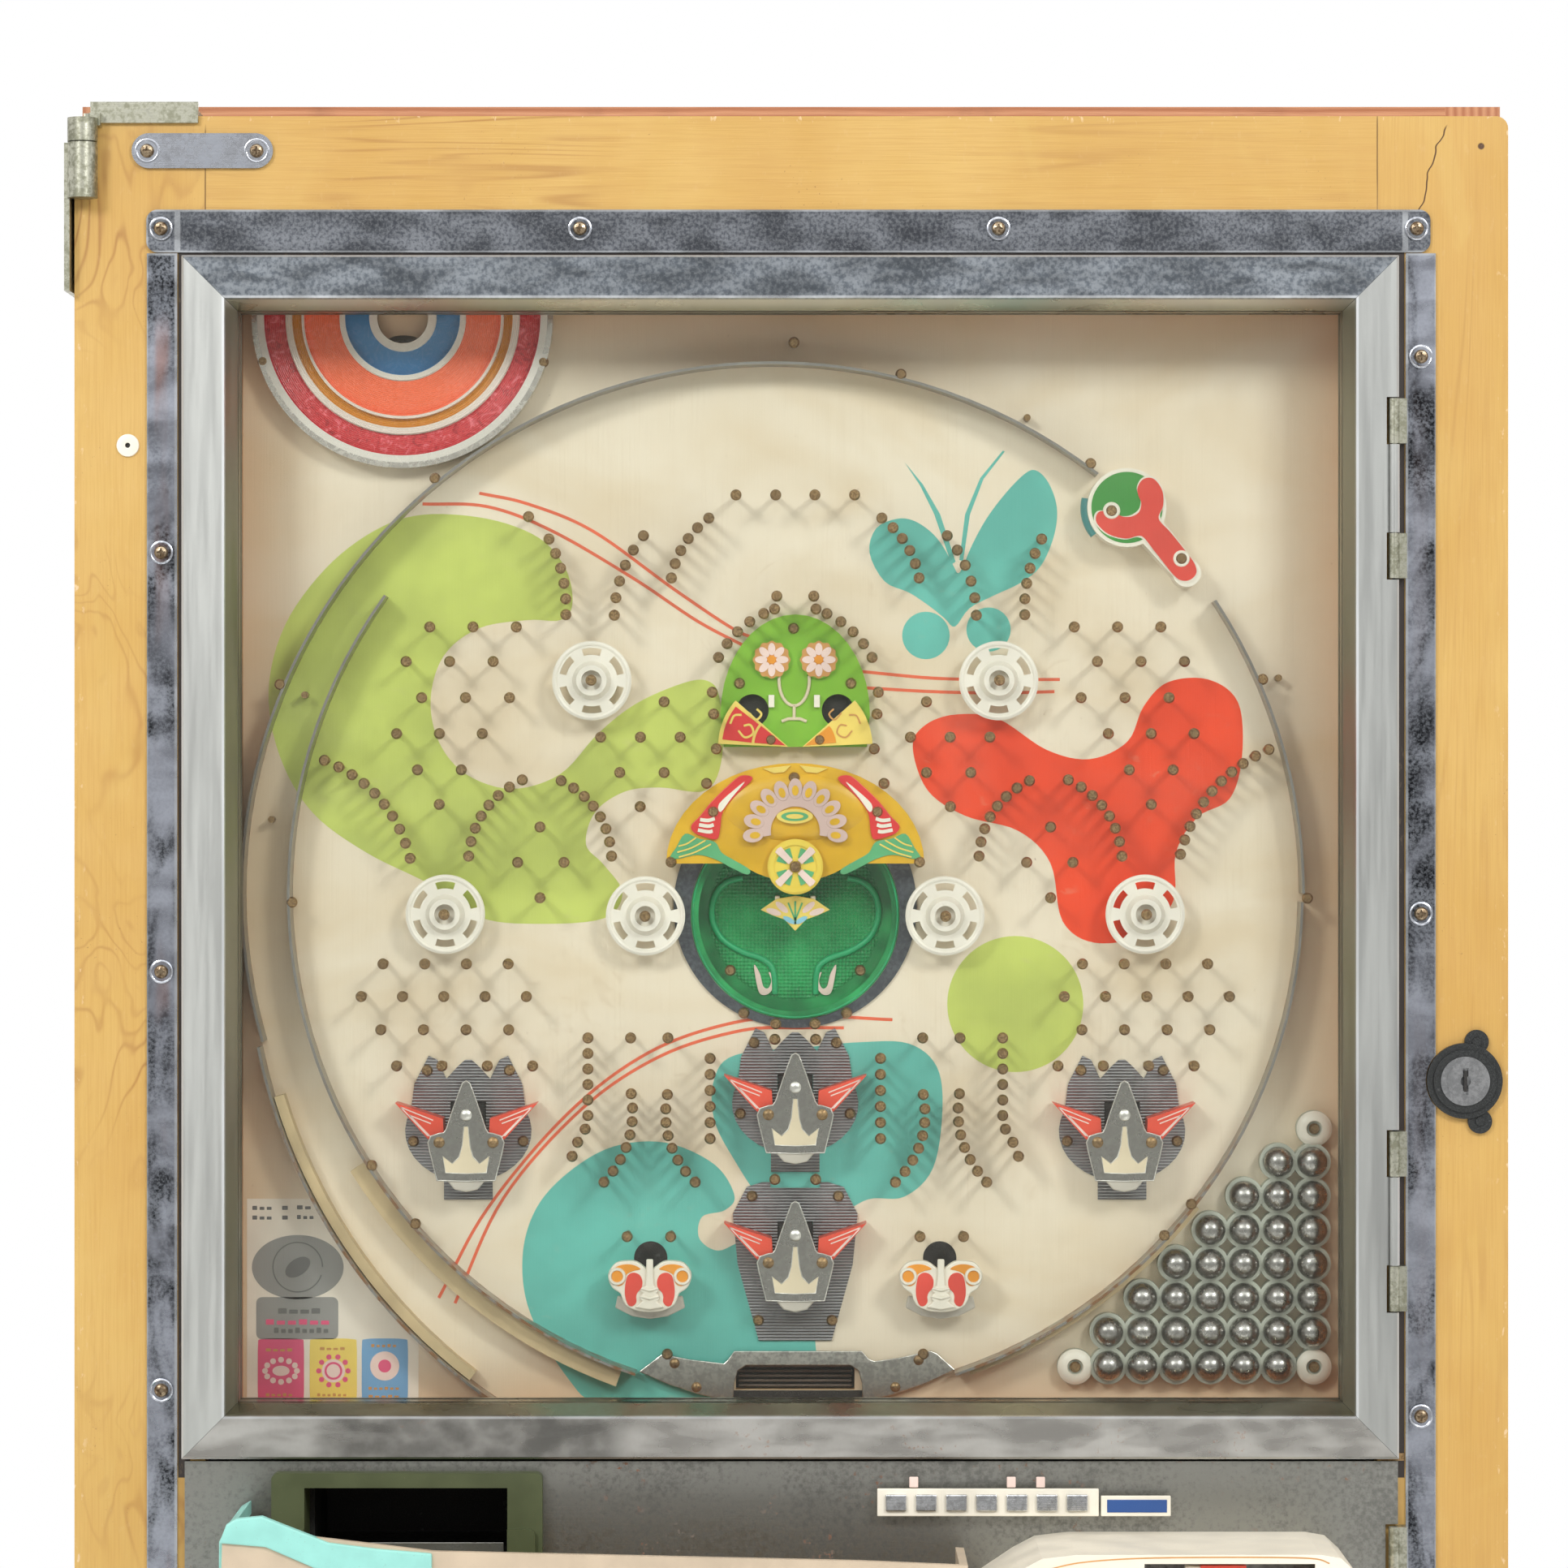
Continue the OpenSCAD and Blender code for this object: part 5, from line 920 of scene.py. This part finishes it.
slabs("dish_marks", pair(spline([(x - 0.5, z + 0.6) for x, z in mark], 4)), floor_y - 0.7, floor_y + 0.2, "pearl",
    bevel=0.15)
tubes("dish_rim", [wires(disc(0, DISH_Z, 37.9, n=96), BOARD_Y - 1.1)], 0.35, "mint", closed=True)

# Tulips: a folded steel face with an edge and rivet in a lighter copy of its steel, a painted highlight, with a stem
# opening and a lip under it
face_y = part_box("tulip_front_plates")[0].y / MM + 0.8
face_line = [(0, 21), (1.3, 20.2), (2.4, 17.4), (4.4, 11.8), (6.1, 6.8), (7.3, 3.2), (8.2, 1.9), (9.8, 1.7),
    (12.9, 0.7), (14, -1.6), (13.2, -5.5), (12.2, -9.5), (10.7, -15.6), (0, -15.9)]
outline = whole(face_line)
crown = whole([(0.8, 4.2), (1.5, -3), (2.6, -7), (5, -9.4), (8.6, -6.6), (7.5, -12.8), (0, -13.1)])
first = TULIPS["left"]
here = (PLAY.x + first[0], PLAY.y + first[1])


def tulip_part(name, make, *args, **kwargs):
    """Makes a part of the left tulip and shows the same mesh on the other three."""
    piece = make(name + "_left", *args, origin=here, **kwargs)
    for key, (x, z) in list(TULIPS.items())[1:]:
        twin = bpy.data.objects.new(f"{name}_{key}", piece.data)
        bpy.context.scene.collection.objects.link(twin)
        for mod in piece.modifiers:
            same = twin.modifiers.new(mod.name, mod.type)
            for setting in ("width", "segments", "limit_method", "angle_limit"):
                setattr(same, setting, getattr(mod, setting))
        twin.location = ((x - first[0]) * MM, 0, (z - first[1]) * MM)
        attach(twin, DOOR)
    return piece


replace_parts(tulip_part("tulip_face", slabs, [outline], face_y - 0.9, face_y + 0.2, "tulip", bevel=0.3),
    "tulip_front_plates")
tulip_part("tulip_edge", tubes, [wires(outline, face_y - 0.85), wires(crown, face_y - 0.9)], 0.24, "edge", closed=True,
    n=8)
tulip_part("tulip_rivet", lathe, [(0, face_y - 1.9), (1.4, face_y - 1.8), (2.1, face_y - 1.3), (2.2, face_y - 0.7)], 0,
    8.4, "edge")
tulip_part("tulip_stem", slabs, [crown], face_y - 1.05, face_y - 0.8, "stem")
for s, tag in ((-1, "l"), (1, "r")):
    tulip_part(f"tulip_pin_{tag}", lathe, [(0, face_y - 2.1), (1.3, face_y - 1.95), (2.05, face_y - 1.4),
        (2.1, face_y - 0.8)], s * 9.9, -1.6, "nails", n=20)
tulip_part("tulip_posts", lathe, [(0.9, face_y), (1.2, face_y + 0.4), (1.2, BOARD_Y - 1), (0, BOARD_Y - 0.9)], 0, -11,
    "tulip")
lip = [(-7.4, -15.4), (-4.2, -19), (0, -19.9), (4.2, -19), (7.4, -15.4)]
tulip_part("tulip_lip", slabs, [lip], face_y - 0.6, face_y + 2.4, "cup", bevel=0.5)

# Wings carry two thin pale lines and ride on their own bodies
wing_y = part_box("tulip_left_wing_l")[0].y / MM
paths = [[(14.3, 11.2), (2.4, 6.4)], [(14.3, 11.2), (4.2, 0.6)], [(11, 8.2), (3.2, 5.2)], [(11.2, 8.4), (2.6, -0.4)]]
for key, (tx, tz) in TULIPS.items():
    for side, tag in ((-1, "l"), (1, "r")):
        strokes = [stroke([(tx + side * (9.84 + x), tz + z) for x, z in p], 0.42, 2) for p in paths]
        slabs(f"wing_lines_{key}_{tag}", strokes, wing_y - 0.12, wing_y + 0.1, "pearl", f"tulip_{key}_wing_{tag}")

# Side pockets: inlaid lobes round a raised stalk, with a lip below
cup_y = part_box("pocket_cups")[0].y / MM
rim_half = [(0, 2.2), (1.3, 2.9), (4.7, 5.3), (8.2, 5.7), (12.4, 4.9), (15, 1.8), (15.2, -1.2), (13.6, -4.4),
    (10.9, -6.3), (10, -8.7), (8.4, -11), (4.6, -12.7), (0, -13.2)]
cup_rim = spline(whole(rim_half), 3)
lobe = [(3.4, 2.7), (6, 4.2), (9.4, 4.4), (12.6, 3.3), (14, 0.8), (13.4, -2.4), (11.4, -3.6), (9.4, -2.4), (8.6, 0.6),
    (6, 2)]
petal = [(2.7, -1.6), (3.8, 0.6), (6, 1.4), (8, 0.4), (8.8, -2), (9.2, -5.2), (8.9, -8), (7.8, -10.6), (6.2, -10.9),
    (4.9, -9.4), (5, -7.4), (4.4, -5.8), (3, -4.2)]
root = whole([(1.25, 6.4), (1.3, 0), (1.6, -3.4), (3.3, -4.3), (3.4, -5.4), (2.4, -6.1), (3.7, -7.2), (3.5, -8.5),
    (2.8, -9.1), (5.4, -11.3), (0, -12.2)])
for side, tag in ((-1, "left"), (1, "right")):
    spot = (PLAY.x + side * 53.5, PLAY.y - 140.7)
    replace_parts(slabs(f"pocket_body_{tag}", [cup_rim], cup_y - 0.1, cup_y + 4.6, "white", origin=spot, bevel=0.5),
        "pocket_cups")
    blocks(f"pocket_arms_{tag}", [(spot[0] + x - 2.2, spot[0] + x + 2.2, cup_y + 3, BOARD_Y, spot[1] - 2.2, spot[1]
        + 2.2) for x in (-12, 12)], "white", bevel=0.8)
    slabs(f"pocket_chute_{tag}", [[(-9.4, 1.4), (-9.4, -9.6), (0, -12.4), (9.4, -9.6), (9.4, 1.4), (8.2, 1.4),
        (8.2, -8.6), (0, -11.2), (-8.2, -8.6), (-8.2, 1.4)]], cup_y + 4, BOARD_Y, "white", origin=spot)
    for part, shape, look in (("lobes", lobe, "amber"), ("petals", petal, "rosso")):
        slabs(f"pocket_{part}_{tag}", pair(spline(shape, 4)), cup_y - 0.35, cup_y + 0.1, look, origin=spot, bevel=0.1)
    for end, x in (("a", -12), ("b", 12)):
        lathe(f"pocket_eyelet_{tag}_{end}", [(2.1, cup_y - 0.3), (2.3, cup_y - 0.9), (3, cup_y - 0.9),
            (3.3, cup_y - 0.3)], x, 0, "white", origin=spot, n=28)
    slabs(f"pocket_root_{tag}", [root], cup_y - 1.5, cup_y + 0.1, "white", origin=spot, bevel=0.45)
    tubes(f"pocket_rings_{tag}", [[(-x, cup_y - 1.3, z + 0.5), (0, cup_y - 1.9, z - 0.2), (x, cup_y - 1.3, z + 0.5)]
        for x, z in ((3, -4.8), (3.2, -7.8))], 0.5, "ivory", origin=spot, n=10)
    slabs(f"pocket_lip_{tag}", [[(-12, -7.6), (-12.9, -12), (-6.6, -15.2), (0, -16.2), (6.6, -15.2), (12.9, -12),
        (12, -7.6), (0, -9)]], cup_y + 4.8, cup_y + 6.8, "cup", origin=spot, bevel=0.5)

# Bottom plate: a shaped strip with an open mouth over the out hole
strip = [(-57.8, -176.9), (-49.2, -170.4), (-39, -172.4), (-26.4, -173.9), (-25, -172.6), (-22.6, -169.3),
    (24.6, -169.3), (27.2, -172.2), (29.4, -173), (38.4, -171.8), (50.2, -169.2), (52.4, -170.2), (59.1, -176.2),
    (48, -181.4), (36, -185.4), (25.2, -188.2), (24.6, -181), (23.4, -176.6), (20.4, -174.6), (-18.2, -174.6),
    (-21.2, -176.6), (-22.5, -181), (-23, -188.2), (-36, -185.2), (-47, -181.6)]
plate_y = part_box("out_hole_plate")[0].y / MM
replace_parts(slabs("out_plate", [strip], plate_y, plate_y + 1.2, "outhole", bevel=0.3), "out_hole_plate")
slabs("out_plate_block", [[(-56, -177.4), (-49.2, -172), (-26.8, -175.2), (-23.6, -175), (-24.2, -187), (-36, -184),
    (-47, -180.6)], [(57, -177), (50.6, -170.8), (30, -174.4), (25.6, -175), (26.2, -187), (36, -184.2),
    (48, -180.2)]], plate_y + 1.1, BOARD_Y, "grey")
slabs("out_plate_brow", [[(-22, -170.6), (24, -170.6), (24, -173.4), (-22, -173.4)]], plate_y + 1.1, BOARD_Y, "grey")
# A near-black strip in the plate's mouth is painted shade
slabs("out_plate_mouth_shade", [[(-23.2, -184.2), (24.8, -184.2), (24.8, -188.6), (-23.2, -188.6)]], BOARD_Y - 0.6,
    BOARD_Y - 0.1, "dark")
for tag, x, z in (("la", -44.6, -173.8), ("ra", 45.6, -172.6), ("lb", -36.5, -182.6), ("rb", 37, -182.6)):
    lathe(f"out_plate_pin_{tag}", [(0, plate_y - 1), (1.3, plate_y - 0.8), (1.9, plate_y - 0.2), (1.9, plate_y + 0.1)],
        x, z, "nails", n=18)

# A rolled rim on each windmill turns with it
for mill in ("upper", "outer", "inner"):
    for tag in ("left", "right"):
        body = f"windmill_{mill}_{tag}"
        lo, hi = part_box(body)
        cx, cz = (lo.x + hi.x) / 2 / MM - PLAY.x, (lo.z + hi.z) / 2 / MM - PLAY.y
        y = lo.y / MM + 4
        lathe(f"mill_rim_{mill}_{tag}", [(12.9, y + 0.2), (13, y - 0.35), (13.6, y - 0.6), (14.2, y - 0.35), (14.3, y
            + 0.2)], cx, cz, "cream", body)

# ---------- printed labels behind the glass, all of them generic ----------

card = (BOARD_Y - 0.12, BOARD_Y - 0.02)
over = (BOARD_Y - 0.2, BOARD_Y - 0.1)
top_layer = (BOARD_Y - 0.27, BOARD_Y - 0.18)


def dashes(rows, gap=0.9, tall=1.5):
    """Short bars that stand for lines of small print: (x0, x1, z, how many)."""
    out = []
    for x0, x1, z, count in rows:
        step = (x1 - x0) / count
        out += [box(x0 + k * step, x0 + (k + 1) * step - gap, z, z + tall * (0.75 + 0.25 * ((k * 7) % 3 == 0)), 0.15)
            for k in range(count)]
    return out


slabs("label_card", [[(-203, -113.3), (-178.5, -113.3), (-169, -127), (-158, -142), (-146, -157), (-139.5, -164),
    (-139.5, -188.8), (-203, -188.8)]], *card, "paper")
slabs("label_print", dashes([(-201, -193, -117.4, 3), (-190, -187, -117.4, 1), (-184.5, -178.5, -117.2, 2),
    (-201, -193, -121, 3), (-190, -187, -121, 1), (-184.5, -177.5, -120.8, 3)]), *over, "greymark")
slabs("label_oval", [disc(-184.2, -138.6, 17, 11.9, 64)], *over, "steelgrey")
slabs("label_block", [box(-199.6, -169.2, -165.3, -149.7, 2.2, 5)], *over, "steelgrey")
slabs("label_marks", [stroke(disc(-184.2, -138.6, 9.2, n=40)[:39], 0.5, 1), disc(-184.2, -138.6, 5.2, 3.1, 32, 0.6)]
    + dashes([(-191.5, -175, -155.8, 4), (-193, -172, -163, 8)], 0.9, 2), *top_layer, "greymark")
slabs("label_red_marks", dashes([(-196, -171.5, -159.9, 6)], 1.1, 2), *top_layer, "rose")


def badge(x0, x1, look, name):
    slabs(name, [spline([(x0 + 1.2, -165.3), ((x0 + x1) / 2, -165), (x1 - 1.2, -165.3), (x1 - 0.1, -167), (x1, -177),
        (x1 - 0.1, -187), (x1 - 1.2, -188.7), ((x0 + x1) / 2, -188.9), (x0 + 1.2, -188.7), (x0 + 0.1, -187),
        (x0, -177), (x0 + 0.1, -167)], 3)], *over, look)


badge(-199, -181.9, "rose", "badge_rose")
badge(-179.8, -162.3, "lemon", "badge_lemon")
badge(-160.5, -143.4, "sky", "badge_sky")
ringlets = [disc(-190.4 + 5.9 * math.cos(a * math.pi / 6), -177 + 4.1 * math.sin(a * math.pi / 6), 1.1, n=12)
    for a in range(12)]
slabs("badge_discs", ringlets + [disc(-190.4, -177, 3.2, 1.9, 24), disc(-171, -177, 4.3, n=32), disc(-152, -175.2, 5.4,
    n=36)], *top_layer, "pearl")
slabs("badge_rings", [disc(-171, -177, 3.3, n=32), disc(-152, -175.2, 2.4, n=24)]
    + [disc(-171 + 5.4 * math.cos(a * math.pi / 5), -177 + 5.4 * math.sin(a * math.pi / 5), 1, n=10)
    for a in range(10)], BOARD_Y - 0.33, BOARD_Y - 0.2, "rose")
slabs("badge_centres", [disc(-171, -177, 2.5, n=28)], BOARD_Y - 0.4, BOARD_Y - 0.31, "pearl")
slabs("badge_print", dashes([(-196, -185.5, -169.8, 4), (-176, -166, -169.3, 4), (-157, -147, -168.2, 5),
    (-196, -185.5, -186.4, 5), (-177, -165.5, -186.4, 6), (-158, -146, -184, 6), (-158, -146, -187, 5)], 0.8, 1.1),
    *top_layer, "tan")

# ---------- playfield fittings ----------

for i, (x, z) in enumerate(((103.4, -175), (191.6, -175), (191.7, -87))):
    lathe(f"rack_boss_{i}", [(2.6, BOARD_Y - 5.2), (3, BOARD_Y - 6.6), (5.2, BOARD_Y - 6.3), (6.5, BOARD_Y - 5),
        (6.6, BOARD_Y - 3)], x, z, "ivory")
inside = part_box("inner_box")[1].x / MM - 6.5
for tag, s in (("left", -1), ("right", 1)):
    x0, x1 = sorted((s * inside, s * (inside - 1.6)))
    blocks(f"box_bead_{tag}", [(x0, x1, BOARD_Y - 1.4, BOARD_Y - 0.05, 334, 739)], "box", bevel=0.3)
pins = [at(195.4, a) for a in (24, 64, 158, 172)]
tubes("rail_pins", [[(x, BOARD_Y - 6.3, z), (x, BOARD_Y + 0.2, z)] for x, z in pins], 1.3, "nails")

# ---------- door front ----------

lathe("stile_plug", [(0.9, -72.6), (0.95, -74.2), (2.6, -74.3), (4, -73.9), (4.15, -73)], -240.6, 684.4, "ivory",
    origin=(0, 0))
# A near-black disc inside the plug's hole is painted shade
lathe("stile_plug_hole_shade", [(0, -73.4), (0.95, -73.4), (0.95, -72.9)], -240.6, 684.4, "dark", origin=(0, 0))
blocks("corner_tab", [(213.6, 222.2, -73.9, -72.95, 316.2, 319)], "nails", bevel=0.25)
# A near-black strip behind the gap under the glass door is painted shade
blocks("door_gap_shade_strip", [(-219, 219, -63, -61.5, 311, 322)], "dark")
# The chute's walls and back are near black, painted shade inside the payout opening
walls = ((-176, -101, 305.5, 308.5), (-176, -101, 276.5, 279.5), (-177, -174, 278, 307), (-103, -100, 278, 307))
blocks("payout_chute", [(x0, x1, -58.5, -2, z0, z1) for x0, x1, z0, z1 in walls] + [(-177, -100, -4, -1.5, 277, 308)],
    "dark", bevel=0.3)
blocks("chute_floor", [(-174.2, -102.8, -58.4, -4, 279.4, 281)], "panel", bevel=0.2)
blocks("chute_lip", [(-172, -105, -58.4, -57, 281, 284.5)], "panel", bevel=0.2)
# A near-black bar in the lock face is painted shade for the key slot
blocks("key_slot_shade", [(243.4, 244.6, -77.9, -77.2, 450.2, 457.8)], "dark", "lock_cylinder", bevel=0.1)

# ---------- tray door ----------

ON_TRAY = {"body": "tray_door", "origin": (0, 0)}
blocks("name_base", [(31, 111, PANEL_Y - 1.4, PANEL_Y + 0.1, 297.2, 307.2)], "ivory", "tray_door", bevel=0.35)
bars = [(34 + 10.9 * k, 41.6 + 10.9 * k, PANEL_Y - 2.8, PANEL_Y - 1.2, 299.2, 305.2) for k in range(7)]
blocks("name_bars", bars, "chrome", "tray_door", bevel=0.45)
blocks("name_pips", [(x, x + 3.2, PANEL_Y - 1.5, PANEL_Y + 0.1, 307.6, 311.4) for x in (42.6, 77.8, 88.4)], "pearl",
    "tray_door", bevel=0.3)
blocks("side_plate", [(111.8, 137, PANEL_Y - 1.2, PANEL_Y + 0.1, 297.2, 304.6)], "ivory", "tray_door", bevel=0.3)
blocks("side_plate_field", [(114, 135.6, PANEL_Y - 1.5, PANEL_Y - 1, 298.6, 303.2)], "navy", "tray_door", bevel=0.15)
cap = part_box("upper_tray")[0].y / MM
slabs("tray_rim_cap", [[(-201, 295), (-198.5, 301.5), (-195, 303.6), (-186, 304.4), (-178, 301.2), (-162.5, 295.2),
    (-145, 293), (-126.3, 291.4), (-126.3, 279), (-150, 280.5), (-168, 286.4), (-184.7, 293.6)]], cap - 1.4, cap + 2.6,
    "turquoise", **ON_TRAY, bevel=0.6)
slabs("tray_rim_cap_side", [[(-201.6, 262), (-201.4, 295), (-198.4, 301), (-195, 303), (-195, 298), (-198, 294),
    (-198, 262)]], cap + 2.6, PANEL_Y - 0.3, "turquoise", **ON_TRAY, bevel=0.4)
slabs("cover_seam", [stroke([(90, 285.6), (101, 288), (118, 289.4), (140, 289.9), (170, 289.9), (184, 289.4),
    (189, 287.8)], 0.45)], cap - 0.12, cap + 0.3, "tan", **ON_TRAY)
blocks("slide_stop", [(138.6, 144.2, cap + 3.2, cap + 9, 280, 286.2)], "ivory", "release_slide", bevel=0.4)
lathe("slide_knob", [(0, cap - 5.4), (2.2, cap - 5.2), (3.1, cap - 3.8), (2.6, cap - 1.6), (1.6, cap + 1)], 152, 275,
    "scarlet", "release_slide", origin=(0, 0))

# ---------- mechanism side ----------

ON_REAR = {"body": "mech_panel", "origin": (0, 0)}
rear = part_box("mech_panel")[1].y / MM - 9.6
lathe("bell_gong", [(0, rear + 21), (3.2, rear + 21), (4, rear + 19), (17, rear + 17.4), (23, rear + 13.5), (26, rear
    + 7), (27, rear + 3.2), (25.4, rear + 3.2), (24.2, rear + 7)], -90, 590, "chrome", **ON_REAR, n=56)
lathe("bell_post", [(3.4, rear - 0.4), (3.4, rear + 22), (5, rear + 22.4), (5, rear + 25), (0, rear + 25)], -90, 590,
    "screw", **ON_REAR, n=18)
blocks("bell_bridge", [(-124, -56, rear - 0.6, rear + 1.6, 584, 596)], "mech", "mech_panel")
blocks("bell_coil", [(-60, -34, rear - 0.4, rear + 18, 600, 636)], "dark", "mech_panel", bevel=1.2)
tubes("bell_hammer", [[(-47, rear + 10, 600), (-50, rear + 11, 586), (-58, rear + 9, 578), (-61.6, rear + 8, 582)]],
    1.1, "mech", **ON_REAR)
runs = (("red", -40, 608, -26, 520, 66, 470), ("turquoise", -44, 606, -32, 512, 64, 462), ("lemon", -36, 610, -22, 530,
    70, 480))
for k, (look, x0, z0, x1, z1, x2, z2) in enumerate(runs):
    path = spline([(x0, z0), (x0 + 2, z0 - 14), (x1, z1), (x1 + 14, z1 - 24), (x2, z2)], 6, False)
    tubes(f"bell_wire_{k}", [[(p[0], rear + 3 + 2.2 * k, p[1]) for p in path]], 0.95, look, **ON_REAR, n=10)
slabs("service_label", [box(-150, -96, 470, 508, 1)], rear - 0.1, rear + 0.35, "paper", **ON_REAR)
slabs("service_label_print", [box(-146 + 12 * k, -137 + 12 * k, z, z + 1.8, 0.3) for z in (500, 495, 490, 485, 480,
    475) for k in range(4)], rear + 0.3, rear + 0.6, "greymark", **ON_REAR)
for k, x in enumerate((-186, -160, 30, 186)):
    for z in (312, 520, 740):
        lathe(f"panel_screw_{k}_{z}", [(0, rear + 1.9), (2.4, rear + 1.6), (3.5, rear + 0.4), (3.5, rear - 0.2)], x, z,
            "screw", **ON_REAR, n=18)
for k, x in enumerate((-44, 0, 44)):
    tubes(f"return_tube_{k}", [[(x, rear + 7, 372), (x * 0.8, rear + 8, 350), (x * 0.45 + 8, rear + 8, 334), (x * 0.3
        + 10, rear + 8, 318)]], 6.4, "paleyellow", **ON_REAR, n=20)
blocks("tube_clamp", [(-56, 56, rear - 0.4, rear + 15, 384, 390)], "mech", "mech_panel")
linkage = [[(66, rear + 6, 520), (66, rear + 6, 560), (20, rear + 6, 566), (-20, rear + 6, 640)],
    [(150, rear + 4, 400), (150, rear + 4, 340), (120, rear + 4, 320)]]
tubes("payout_links", linkage, 1.6, "mech", **ON_REAR)
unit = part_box("payout_unit")[1].y / MM
for k, x in enumerate((85, 110, 135)):
    lathe(f"payout_wheel_{k}", [(2.2, unit - 11.4), (2.2, unit - 8.5), (8.6, unit - 8.8), (8.8, unit - 11.4)], x, 470,
        "cream", **ON_REAR, n=36)

# Pressed rings round the face screws
trim_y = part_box("trim_strips")[0].y / MM
spots = [(x, 762.9) for x in (-228.5, -76.6, 75.1, 226.7)] + [(-228.3, z) for z in (645.5, 493.6, 341.9, 190, 60)]
spots += [(228.2, z) for z in (716.5, 514.6, 332.5, 150)]
for k, (x, z) in enumerate(spots):
    lathe(f"screw_dimple_{k}", [(3, trim_y + 0.4), (3.3, trim_y + 0.05), (3.8, trim_y - 0.15), (4.3, trim_y + 0.02)],
        x, z, "plate", origin=(0, 0), n=28)
plate_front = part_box("mending_plate")[0].y / MM
for k, x in enumerate((-233.5, -193.8)):
    lathe(f"plate_dimple_{k}", [(3, plate_front + 0.4), (3.6, plate_front - 0.02), (4.1, plate_front - 0.15),
        (4.6, plate_front + 0.02)], x, 791.1, "plate", origin=(0, 0), n=28)


# ---------- floor, light and camera ----------

# Places and sizes from here on are in metres
FLOOR_RADIUS = 1.5
FLOOR_SIDES = 96
AIM = Vector((0, -0.05, 0.5))
AREA_LIGHTS = (  # name, place, size, power
    ("key_left", (-1.25, -2.1, 1.75), 0.55, 24),
    ("key_right", (1.25, -2.1, 1.75), 0.55, 24),
    ("front_fill", (0, -2.6, 2.2), 1.6, 11),
    ("rear_fill", (0.6, 2.2, 1.9), 1.8, 30),
)
EYE = (-0.00265, -2.073, 0.5616)
LENS = 126.6


def studio():
    mesh = bpy.data.meshes.new("studio_floor")
    half = FLOOR_SIDES / 2
    rim = [(FLOOR_RADIUS * math.cos(a * math.pi / half), FLOOR_RADIUS * math.sin(a * math.pi / half), 0)
        for a in range(FLOOR_SIDES)]
    mesh.from_pydata(rim, [], [list(range(FLOOR_SIDES))])
    floor = bpy.data.objects.new("studio_floor", mesh)
    bpy.context.scene.collection.objects.link(floor)
    g = Graph("floor_pale")
    floor.data.materials.append(g.surface(g.mix(g.noise(60, 2), (0.80, 0.80, 0.79), (0.84, 0.84, 0.83)), 0, 0.7))
    world = bpy.data.worlds.new("studio")
    bpy.context.scene.world = world
    world.use_nodes = True
    tree = world.node_tree
    tree.nodes.clear()

    def add(kind, **settings):
        node = tree.nodes.new("ShaderNode" + kind)
        for key, value in settings.items():
            setattr(node, key, value)
        return node

    # Mirrors see a studio that is dark behind the camera and bright above and at the sides
    split = add("SeparateXYZ")
    tree.links.new(add("TexCoord").outputs["Generated"], split.inputs[0])
    ahead = add("MapRange")
    tree.links.new(split.outputs[1], ahead.inputs[0])
    for socket, value in zip(ahead.inputs[1:5], (-1, -0.2, 0.42, 0.95)):
        socket.default_value = value
    path = add("LightPath")
    seen = add("Background")
    seen.inputs[0].default_value = (1, 1, 1, 1)
    seen.inputs[1].default_value = 1
    soft = add("Background")
    soft.inputs[0].default_value = (1, 0.985, 0.965, 1)
    tree.links.new(ahead.outputs[0], soft.inputs[1])
    mix = add("MixShader")
    tree.links.new(path.outputs["Is Camera Ray"], mix.inputs[0])
    tree.links.new(soft.outputs[0], mix.inputs[1])
    tree.links.new(seen.outputs[0], mix.inputs[2])
    tree.links.new(mix.outputs[0], add("OutputWorld").inputs[0])
    for name, place, size, power in AREA_LIGHTS:
        light = bpy.data.lights.new(name, "AREA")
        light.size = size
        light.energy = power
        lamp = bpy.data.objects.new(name, light)
        bpy.context.scene.collection.objects.link(lamp)
        lamp.location = place
        lamp.rotation_euler = (AIM - Vector(place)).to_track_quat("-Z", "Y").to_euler()


def camera():
    eye = bpy.data.cameras.new("camera")
    eye.sensor_width = 36
    eye.lens = LENS
    eye.clip_start = 0.05
    obj = bpy.data.objects.new("camera", eye)
    bpy.context.scene.collection.objects.link(obj)
    obj.location = EYE
    obj.rotation_euler = (math.pi / 2, 0, 0)
    bpy.context.scene.camera = obj


studio()
camera()
bpy.context.scene.view_settings.view_transform = "Standard"
bpy.context.scene.cycles.transparent_max_bounces = 24
